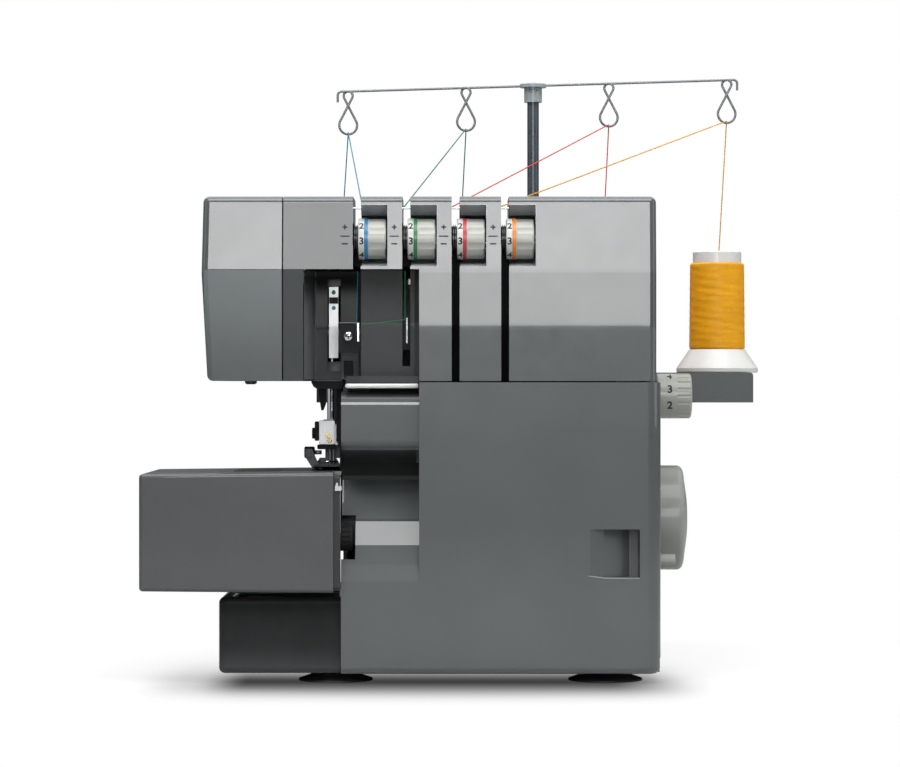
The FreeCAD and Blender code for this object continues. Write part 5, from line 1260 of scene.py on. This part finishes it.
@dataclass
class ThreadStand(Assembly):
    """Wound spools, and the threads that run over the guide wire to the head."""

    turn_pitch: float = 0.36 * MM
    turn_depth: float = 0.07 * MM
    wall: float = 2.2 * MM
    taper: float = 0.55 * MM
    unevenness: float = 0.05 * MM
    shoulder: float = 1.4 * MM
    shoulder_share: float = 0.03
    pack_sides: int = 96
    inner_spools: float = 40.5 * MM
    thread_radius: float = 0.38 * MM
    leg_steps: int = 24
    mast_travel: float = 50 * MM
    spool_row: float = 80.0
    rise_eye: Span = (80.2, 0.6)
    run_eye: Span = (79.0, 1.25)
    spools: tuple[float, ...] = (-75.2, 5.9, 86.9, 168.0)
    leaving: tuple[float, ...] = (-6.0, -8.0, 6.0, 2.4)
    leaving_radius: float = 13.3
    leaving_height: float = 267.75
    eyes: tuple[Span, ...] = ((-75.8, 345.03), (2.1, 347.37), (96.5, 350.2), (174.4, 352.54))
    slot_shifts: tuple[float, ...] = (1.9, -2.0, -2.0, -2.0)
    slot_end: Span = (-64.8, 289.55)

    def build(self) -> None:
        """Wind the spools and stretch the threads."""
        self._packs()
        self._runs()

    def _runs(self) -> None:
        """Stretch each thread from its spool to its eye and on to its slot."""
        for number, colour in enumerate(ThreadShade):
            eye_x, wire_z = self.eyes[number]
            aside = self.leaving[number]
            depth = self.spool_row + math.sqrt(self.leaving_radius ** 2 - aside ** 2)
            foot = (self.spools[number] + aside, depth, self.leaving_height)
            slot = (SLOT_MIDDLES[number] + self.slot_shifts[number], *self.slot_end)
            for part, low, (eye_y, lift), node in (
                ("rise", foot, self.rise_eye, "threads_to_eyes"),
                ("run", slot, self.run_eye, "threads_to_slots"),
            ):
                self._leg(colour, part, low, (eye_x, eye_y, wire_z + lift), node)

    def _leg(self, colour: ThreadShade, part: str, low: Point, high: Point, node: str) -> None:
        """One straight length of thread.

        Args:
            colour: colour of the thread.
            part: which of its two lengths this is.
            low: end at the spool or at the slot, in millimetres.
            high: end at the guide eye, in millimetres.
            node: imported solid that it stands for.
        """
        start, end = Vector(low) * MM, Vector(high) * MM
        line = [start.lerp(end, step / self.leg_steps) for step in range(self.leg_steps + 1)]
        piece = Bench.tube(f"thread_{part}_{colour.name.lower()}", line, self.thread_radius, 8)
        stands_for = [node] if colour is ThreadShade.BLUE else []
        seat(piece, "casing", self.palette.threads[colour], stands_for)
        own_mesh(piece)

    def _packs(self) -> None:
        """Wind each spool with its own colour."""
        low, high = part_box("thread_packs")
        radius = (high.y - low.y) / 2
        first, last = low.x + radius, high.x - radius
        mast = (first + last) / 2
        places = [first, mast - self.inner_spools, mast + self.inner_spools, last]
        for x, colour in zip(places, ThreadShade):
            pack = self._wound(f"wound_thread_{colour.name.lower()}", radius, high.z - low.z)
            pack.location = (x, (low.y + high.y) / 2, low.z)
            stands_for = ["thread_packs"] if colour is ThreadShade.BLUE else []
            seat(pack, "casing", self.palette.threads[colour], stands_for)

    def _wound(self, name: str, radius: float, tall: float) -> Object:
        """One wound pack: turns that climb a slightly tapered body.

        Args:
            name: name of the piece.
            radius: largest radius.
            tall: height of the pack.

        Returns:
            The pack, standing on its own origin.
        """
        rows = int(tall / (self.turn_pitch / 3))
        sides = self.pack_sides
        points, faces = [], []
        for row in range(rows + 1):
            height = tall * row / rows
            share = height / tall
            body = radius - self.taper * share - self._drawn_in(share)
            for step, (u, v) in enumerate(circle(1.0, sides)):
                turn = step / sides
                ridge = abs(math.sin(math.pi * (height / self.turn_pitch - turn)))
                lean = self.unevenness * math.sin(2 * math.pi * (turn * 3 + share * 11))
                reach = body - self.turn_depth * (1 - ridge) + lean
                points.append((reach * u, reach * v, height))
        for row in range(rows):
            faces += Bench.band(row * sides, (row + 1) * sides, sides)
        top, base = rows * sides, len(points)
        for height in (0.0, tall):
            points += [(u, v, height) for u, v in circle(radius - self.wall, sides)]
        for here, there in ((base, 0), (base + sides, top), (base, base + sides)):
            faces += Bench.band(here, there, sides)
        return Bench.piece(name, points, faces)

    def _drawn_in(self, share: float) -> float:
        """How far the pack's ends are drawn in."""
        end = min(share, 1 - share) / self.shoulder_share
        return 0.0 if end >= 1 else self.shoulder * (1 - math.sqrt(1 - (1 - end) ** 2))


@dataclass
class TensionDials(Assembly):
    """Four thread tension dials with their printed scales."""

    bodies: tuple[str, ...] = ("dial_one", "dial_two", "dial_three", "dial_four")
    ring_end: float = 3.55 * MM
    band_end: float = 5.85 * MM
    number_x: float = 2.0 * MM
    sunk: float = 0.2 * MM
    digit: float = 4.3 * MM
    front_digit: int = 3
    step: float = 45.0
    tilt: float = 9.0
    mark_x: float = -7.2 * MM
    plus_size: float = 4.2 * MM
    plus_z: float = 274.0 * MM
    strokes: tuple[Point, ...] = ((5.6, 0.7, 268.8), (3.6, 0.85, 264.2))
    front_y: float = -124 * MM
    front_lean: float = 4.5 * MM
    front_z: Span = (249 * MM, 293 * MM)

    def build(self) -> None:
        """Dress each dial and print its numbers and the signs beside it."""
        for body, band, slot_x in zip(self.bodies, BandShade, SLOT_MIDDLES):
            word = band.name.lower()
            low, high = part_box(f"tension_dial_{word}")
            finish = BandedDial(low.x + self.ring_end, low.x + self.band_end, band.value)
            dress(f"tension_dial_{word}", finish.material(f"dial_{word}"))
            axis = joint_place(f"tension_turn_{word}")
            axis.x = low.x + self.number_x
            radius = (high.z - low.z) / 2 - self.sunk
            turns = [(self.front_digit - value) * self.step - self.tilt for value in range(8)]
            digits = [
                Bench.wrapped_text("digit", str(value), self.digit, axis, radius, turn)
                for value, turn in enumerate(turns)
            ]
            seat(Bench.joined(f"dial_numbers_{word}", digits), body, self.palette.ink)
            self._signs(word, slot_x * MM + self.mark_x)

    def _signs(self, word: str, middle_x: float) -> None:
        """Plus, stroke and minus beside a dial, printed on the casing's front.

        Args:
            word: colour of the dial.
            middle_x: middle of the signs, in metres.
        """
        def lay(mesh: Mesh, middle_z: float) -> Object:
            """Lay a flat sign on the leaning front.

            Args:
                mesh: the sign.
                middle_z: height of its middle.

            Returns:
                The laid sign.
            """
            def move(point: Vector) -> Vector:
                """Carry a point of the sign to the front."""
                z = middle_z + point.y
                return Vector((middle_x + point.x, self._face(z) - PRINT_LIFT - point.z, z))
            return Bench.reshaped("sign", mesh, move)
        signs = [lay(Bench.flat_text("+", self.plus_size, 0.04 * MM), self.plus_z)]
        signs += [lay(self._stroke(wide * MM, tall * MM), z * MM) for wide, tall, z in self.strokes]
        seat(Bench.joined(f"dial_signs_{word}", signs), "casing", self.palette.sign)

    def _face(self, z: float) -> float:
        """Depth of the head's leaning front at a height."""
        fold, top = self.front_z
        return self.front_y + self.front_lean * (z - fold) / (top - fold)

    @staticmethod
    def _stroke(wide: float, tall: float) -> Mesh:
        """A thin printed stroke.

        Args:
            wide: its width.
            tall: its height.

        Returns:
            The mesh.
        """
        mesh = bpy.data.meshes.new("stroke")
        mesh.from_pydata([(u, v, 0) for u, v in rectangle(wide / 2, tall / 2)], [], [(0, 1, 2, 3)])
        return mesh


@dataclass
class SideControls(Assembly):
    """Printed stitch lengths, and a pale rod that paints the highlight along the bottom edge of the front
    cover's grip.
    """

    digit: float = 5.0 * MM
    number_x: float = 13.8 * MM
    step: float = 42.0
    front_value: float = 2.6
    sill_y: float = -123.85
    sill: tuple[Span, ...] = ((74.5, 64.7), (79.5, 64.1), (84.5, 63.4), (105.4, 63.2))

    def build(self) -> None:
        """Print the stitch lengths and lay the pale rod of painted highlight."""
        low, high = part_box("stitch_length_dial")
        axis = joint_place("length_dial_turn")
        axis.x = high.x - self.number_x
        radius = (high.z - low.z) / 2
        turns = {value: (value - self.front_value) * self.step for value in range(1, 5)}
        digits = [
            Bench.wrapped_text("digit", str(value), self.digit, axis, radius, turn)
            for value, turn in turns.items()
        ]
        seat(Bench.joined("length_numbers", digits), "length_dial", self.palette.ink)
        sill = [Vector((x, self.sill_y, z)) * MM for x, z in self.sill]
        seat(Bench.tube("grip_sill", sill, 0.35 * MM, 12), "cover", self.palette.wheel)


@dataclass
class ThreadingWindow(Assembly):
    """Take-up lever, guide plate and their small hardware behind the head's window."""

    threads: tuple[tuple[Point, ...], ...] = (
        ((-64.1, -111.6, 248), (-65.1, -110.35, 213.8)),
        ((-35.6, -116.4, 248), (-35.6, -116.4, 218.8), (-61.1, -115.6, 215.8)),
    )
    thread_radius: float = 0.25 * MM
    lip_radius: float = 1.45 * MM
    lip_ends: Span = (-71.5 * MM, -27.6 * MM)
    lip_ease: float = 0.4 * MM
    lip_z: float = 178.9 * MM
    dots: tuple[tuple[ThreadShade, float], ...] = ((ThreadShade.GREEN, 235.4), (ThreadShade.BLUE, 226.05))
    dot_radius: float = 1.25
    band_z: float = 230.6
    band_half: float = 1.9
    screw: Point = (-69.9, -110.1, 208.8)
    screw_dome: tuple[Span, ...] = ((0, -2.05), (1.6, -1.95), (2.6, -1.5), (3.3, -0.5), (3.3, 0), (0, 0))
    cross_arm: float = 1.9
    cross_half: float = 0.34
    port: Point = (-70.2, -96.9, 189.0)

    def build(self) -> None:
        """Dress the window's pieces."""
        self._lever()
        self._plate()
        self._lip()
        for line, colour in zip(self.threads, (ThreadShade.BLUE, ThreadShade.GREEN)):
            self._thread(line, colour)

    def _lip(self) -> None:
        """Round lip under the window that threads slide over, in pale plastic that paints the highlight along
        it.
        """
        low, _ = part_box("threading_panel")
        radius, ease = self.lip_radius, self.lip_ease
        left, right = self.lip_ends
        arc = [math.pi / 2 * step / 6 for step in range(7)]
        profile = [(radius * math.sin(a), radius - radius * math.cos(a)) for a in arc]
        profile += [(radius, right - left - ease), (radius - ease, right - left), (0, right - left)]
        lip = Bench.lathe("window_lip", profile, Axis.X, (left, low.y + 0.9 * MM, self.lip_z), 48)
        seat(lip, "casing", self.palette.ring)

    def _thread(self, corners: Sequence[Point], colour: ThreadShade) -> None:
        """A taut thread between the window's guides.

        Args:
            corners: its ends and turns, in millimetres.
            colour: its colour.
        """
        ends = [Vector(corner) * MM for corner in corners]
        line = [ends[0]]
        for here, there in zip(ends, ends[1:]):
            line += [here.lerp(there, step / 12) for step in range(1, 13)]
        piece = Bench.tube(f"window_thread_{colour.name.lower()}", line, self.thread_radius, 8)
        stands_for = ["threads_in_window"] if colour is ThreadShade.BLUE else []
        seat(piece, "casing", self.palette.threads[colour], stands_for)
        length = sum((there - here).length for here, there in zip(line, line[1:]))
        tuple(line[0])

    def _lever(self) -> None:
        """Coloured threading marks, and a matte black band in the middle of the take-up lever that paints the
        shade of the gap there.
        """
        low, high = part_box("take_up_lever")
        middle, front = (low.x + high.x) / 2 / MM, low.y / MM
        ring = circle(self.dot_radius, 20)
        for colour, z in self.dots:
            dot = Bench.plate(f"lever_dot_{colour.name.lower()}", ring, (middle, front - 0.02, z), 0.25, 0.15)
            seat(dot, "take_up", self.palette.threads[colour])
        strip = rectangle((high.x - low.x) / 2 / MM - 0.1, self.band_half)
        band = Bench.plate("lever_band", strip, (middle, front - 0.01, self.band_z), 0.3, 0.1)
        seat(band, "take_up", self.palette.matte)

    def _plate(self) -> None:
        """Edge strips and cross-recess screw of the guide plate, and a matte black plate under it that paints
        the shade of a port.
        """
        x, front, z = self.screw
        arm, half = self.cross_arm, self.cross_half
        quarter = [(arm, -half), (arm, half), (half, half)]
        cross = []
        for _ in range(4):
            cross += quarter
            quarter = [(-v, u) for u, v in quarter]
        dome = [(radius * MM, rise * MM) for radius, rise in self.screw_dome]
        top, side, port = rectangle(6.3, 0.2), rectangle(0.45, 5.6), rectangle(2.9, 5.2)
        p = self.palette
        for piece, material in (
            (Bench.plate("guide_plate_top", top, (x + 0.5, front, z + 8.2), 0.5, 0.15), p.dark_steel),
            (Bench.plate("guide_plate_side", side, (x + 5.9, front, z + 2.4), 0.5, 0.15), p.chrome),
            (Bench.lathe("guide_screw_head", dome, Axis.Y, Vector(self.screw) * MM, 40), p.chrome),
            (Bench.plate("window_port", port, self.port, 0.4, 0.1), p.matte),
            (Bench.plate("guide_screw_cross", cross, (x, front - 1.7, z), 0.4, 0.0), p.matte),
        ):
            seat(piece, "casing", material)


@dataclass
class NeedleGroup(Assembly):
    """Small hardware round the needles and the presser foot."""

    slab_corner: float = 0.5
    slab_ease: float = 0.25
    clamp_screws: tuple[Span, ...] = ((-83.6, 148.6), (-82.8, 145.2))
    clamp_screw_size: Span = (1.6 * MM, 0.6 * MM)
    knob_size: Span = (3.4 * MM, 1.9 * MM)
    knob_ribs: int = 14
    thumb_screw: Point = (-98.4, -66.0, 137.8)
    thumb_size: Span = (3.6 * MM, 6.4 * MM)
    thumb_ribs: int = 12
    thumb_stem: Point = (-92.2, -66.0, 137.8)
    stem_radius: float = 1.3 * MM
    stem_length: float = 4.5 * MM
    bush_spot: Span = (-83.0, -84.0)
    bush_depth: float = 9.4
    bush: tuple[Span, ...] = (
        (-10.0, 0), (10.0, 0), (10.0, -1.2), (8.8, -4.6), (-6.5, -4.8), (-8.6, -3.6), (-10.0, -1.0),
    )

    def build(self) -> None:
        """Add the clamp's plates, screws and knob, the foot's hardware and the bar's bush."""
        p = self.palette
        low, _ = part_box("needle_clamp")
        face = low.y / MM
        for name, across, rise, thick, material in (
            ("clamp_plate", (-89.1, -79.4), (142.8, 157.6), 0.9, p.steel),
            ("clamp_jaw", (-90.2, -79.0), (139.8, 142.8), 1.2, p.matte),
            ("clamp_side", (-91.8, -89.1), (145.0, 157.0), 1.6, p.matte),
        ):
            outline = self._slab((across[1] - across[0]) / 2, (rise[1] - rise[0]) / 2)
            slab = Bench.plate(name, outline, (sum(across) / 2, face, sum(rise) / 2), thick, self.slab_ease)
            seat(slab, "needle_drive", material)
        for number, (x, z) in enumerate(self.clamp_screws):
            spot = Vector((x, face - 0.9, z)) * MM
            screw = Bench.slotted_head(f"clamp_screw_{number}", spot, *self.clamp_screw_size, 0.5 + number)
            seat(screw, "needle_drive", p.gilt)
        spot = Vector((-93.4, face + 0.4, 149.7)) * MM
        knob = Bench.knurled("clamp_side_knob", spot, Axis.X, *self.knob_size, self.knob_ribs)
        seat(knob, "needle_drive", p.matte)
        self._foot()
        under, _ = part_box("head_plate")
        bush = Bench.plate("bar_bush", self.bush, (*self.bush_spot, under.z / MM), self.bush_depth, 0.4)
        seat(bush, "casing", p.matte)

    def _slab(self, half: float, tall: float) -> Outline:
        """Outline of a small plate with cut corners.

        Args:
            half: half of its width.
            tall: half of its height.

        Returns:
            The outline.
        """
        cut = self.slab_corner
        return [(-half, cut - tall), (cut - half, -tall), (half - cut, -tall), (half, cut - tall),
                (half, tall - cut), (half - cut, tall), (cut - half, tall), (-half, tall - cut)]

    def _foot(self) -> None:
        """Bright edge and thumb screw of the presser foot."""
        low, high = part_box("presser_foot")
        y, z = low.y + 8 * MM, low.z + 5.2 * MM
        line = [Vector((low.x + 6 * MM, y, z)), Vector((high.x - 1 * MM, y, z))]
        seat(Bench.tube("foot_edge", line, 0.5 * MM, 12), "presser", self.palette.chrome)
        spot = Vector(self.thumb_screw) * MM
        screw = Bench.knurled("foot_thumb_screw", spot, Axis.X, *self.thumb_size, self.thumb_ribs)
        seat(screw, "presser", self.palette.matte)
        profile = [(0, 0), (self.stem_radius, 0), (self.stem_radius, self.stem_length), (0, self.stem_length)]
        stem = Bench.lathe("foot_thumb_stem", profile, Axis.X, Vector(self.thumb_stem) * MM, 20)
        seat(stem, "presser", self.palette.steel)


@dataclass
class TableEnd(Assembly):
    """Inner end plate of the extension table with its bright edge and clip."""

    front: float = -129.0
    back: float = -119.2
    low: float = 56.0
    high: float = 125.5
    thick: float = 4.2
    rail: Point = (91.0, 108.0, 124.0)
    clip_z: float = 117.5
    clip: tuple[Span, ...] = (
        (-1.6, -1.6), (2.2, -1.6), (2.6, -1.0), (2.6, 1.4), (0.6, 1.4),
        (0.2, 3.4), (-0.9, 3.4), (-1.2, 1.4), (-1.6, 1.4),
    )

    def build(self) -> None:
        """Close the gap between the table and the front cover."""
        _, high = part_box("extension_table")
        front, back = self.front, self.back
        under = [(front, 2), (front + 2, 0), (back - 1.5, 0), (back, 1.5)]
        outline = [(y, self.low + cut) for y, cut in under]
        outline += [(y, self.high - cut) for y, cut in reversed(under)]
        points = [(y * MM, z * MM) for y, z in outline]
        plate = Bench.prism(
            "table_end_plate", points, (high.x, 0, 0), Axis.Y.value, Axis.Z.value, self.thick * MM, 0.3 * MM,
        )
        seat(plate, "table", self.palette.window)
        rail = [Vector((high.x + self.thick * MM, (front + 1) * MM, z * MM)) for z in self.rail]
        seat(Bench.tube("table_end_rail", rail, 0.35 * MM, 10), "table", self.palette.steel)
        hook = Bench.plate("table_clip", self.clip, (high.x / MM + 2.6, front, self.clip_z), 0.5, 0.15)
        seat(hook, "table", self.palette.steel)


@dataclass
class Machine(Assembly):
    """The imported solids, each in its own finish."""

    def build(self) -> None:
        """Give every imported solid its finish, apart from the tension dials and the threads."""
        p = self.palette
        groups = {
            "rubber_feet drive_belt": p.rubber,
            "base_plate head_plate motor free_arm casing_screws main_frame": p.dark_metal,
            "left_base_cover": p.base,
            "front_cover": p.front,
            "rear_cover spool_stand": p.casing,
            "end_cover": p.end,
            "upper_cover": p.head,
            "cutting_width_knob upper_knife": p.matte,
            "extension_table": p.table,
            "threading_panel": p.window,
            "cover_hinge_bushes power_fittings power_switch spool_pins": p.black,
            "cover_hinge_rod main_shaft motor_pulley pivot_pins lower_looper upper_looper": p.steel,
            "presser_bar presser_lifter feed_dogs needle_clamp": p.steel,
            "knife_bracket lower_knife needle_plate": p.dark_steel,
            "presser_foot": p.blued,
            "needle_bar needles": p.chrome,
            "thread_guides": p.guides,
            "tension_units": p.posts,
            "take_up_lever": p.lever,
            "shaft_pulley": p.alloy,
            "shaft_bushes": p.bronze,
            "handwheel differential_lever": p.wheel,
            "stitch_length_dial": p.dial,
            "spool_cores": p.white,
            "mast_outer_tube mast_inner_tube": p.mast,
            "mast_cap": p.cap,
            "thread_guide_bar": p.wire,
        }
        for names, material in groups.items():
            for name in names.split():
                dress(name, material)


def main() -> None:
    """Build the machine's looks in order."""
    logging.basicConfig(level=logging.INFO, format="%(message)s")
    palette = Palette()
    Studio().build()
    order = (Machine, ThreadStand, TensionDials, SideControls, ThreadingWindow, NeedleGroup, TableEnd)
    for assembly in order:
        assembly(palette).build()


if __name__ == "__main__":
    main()
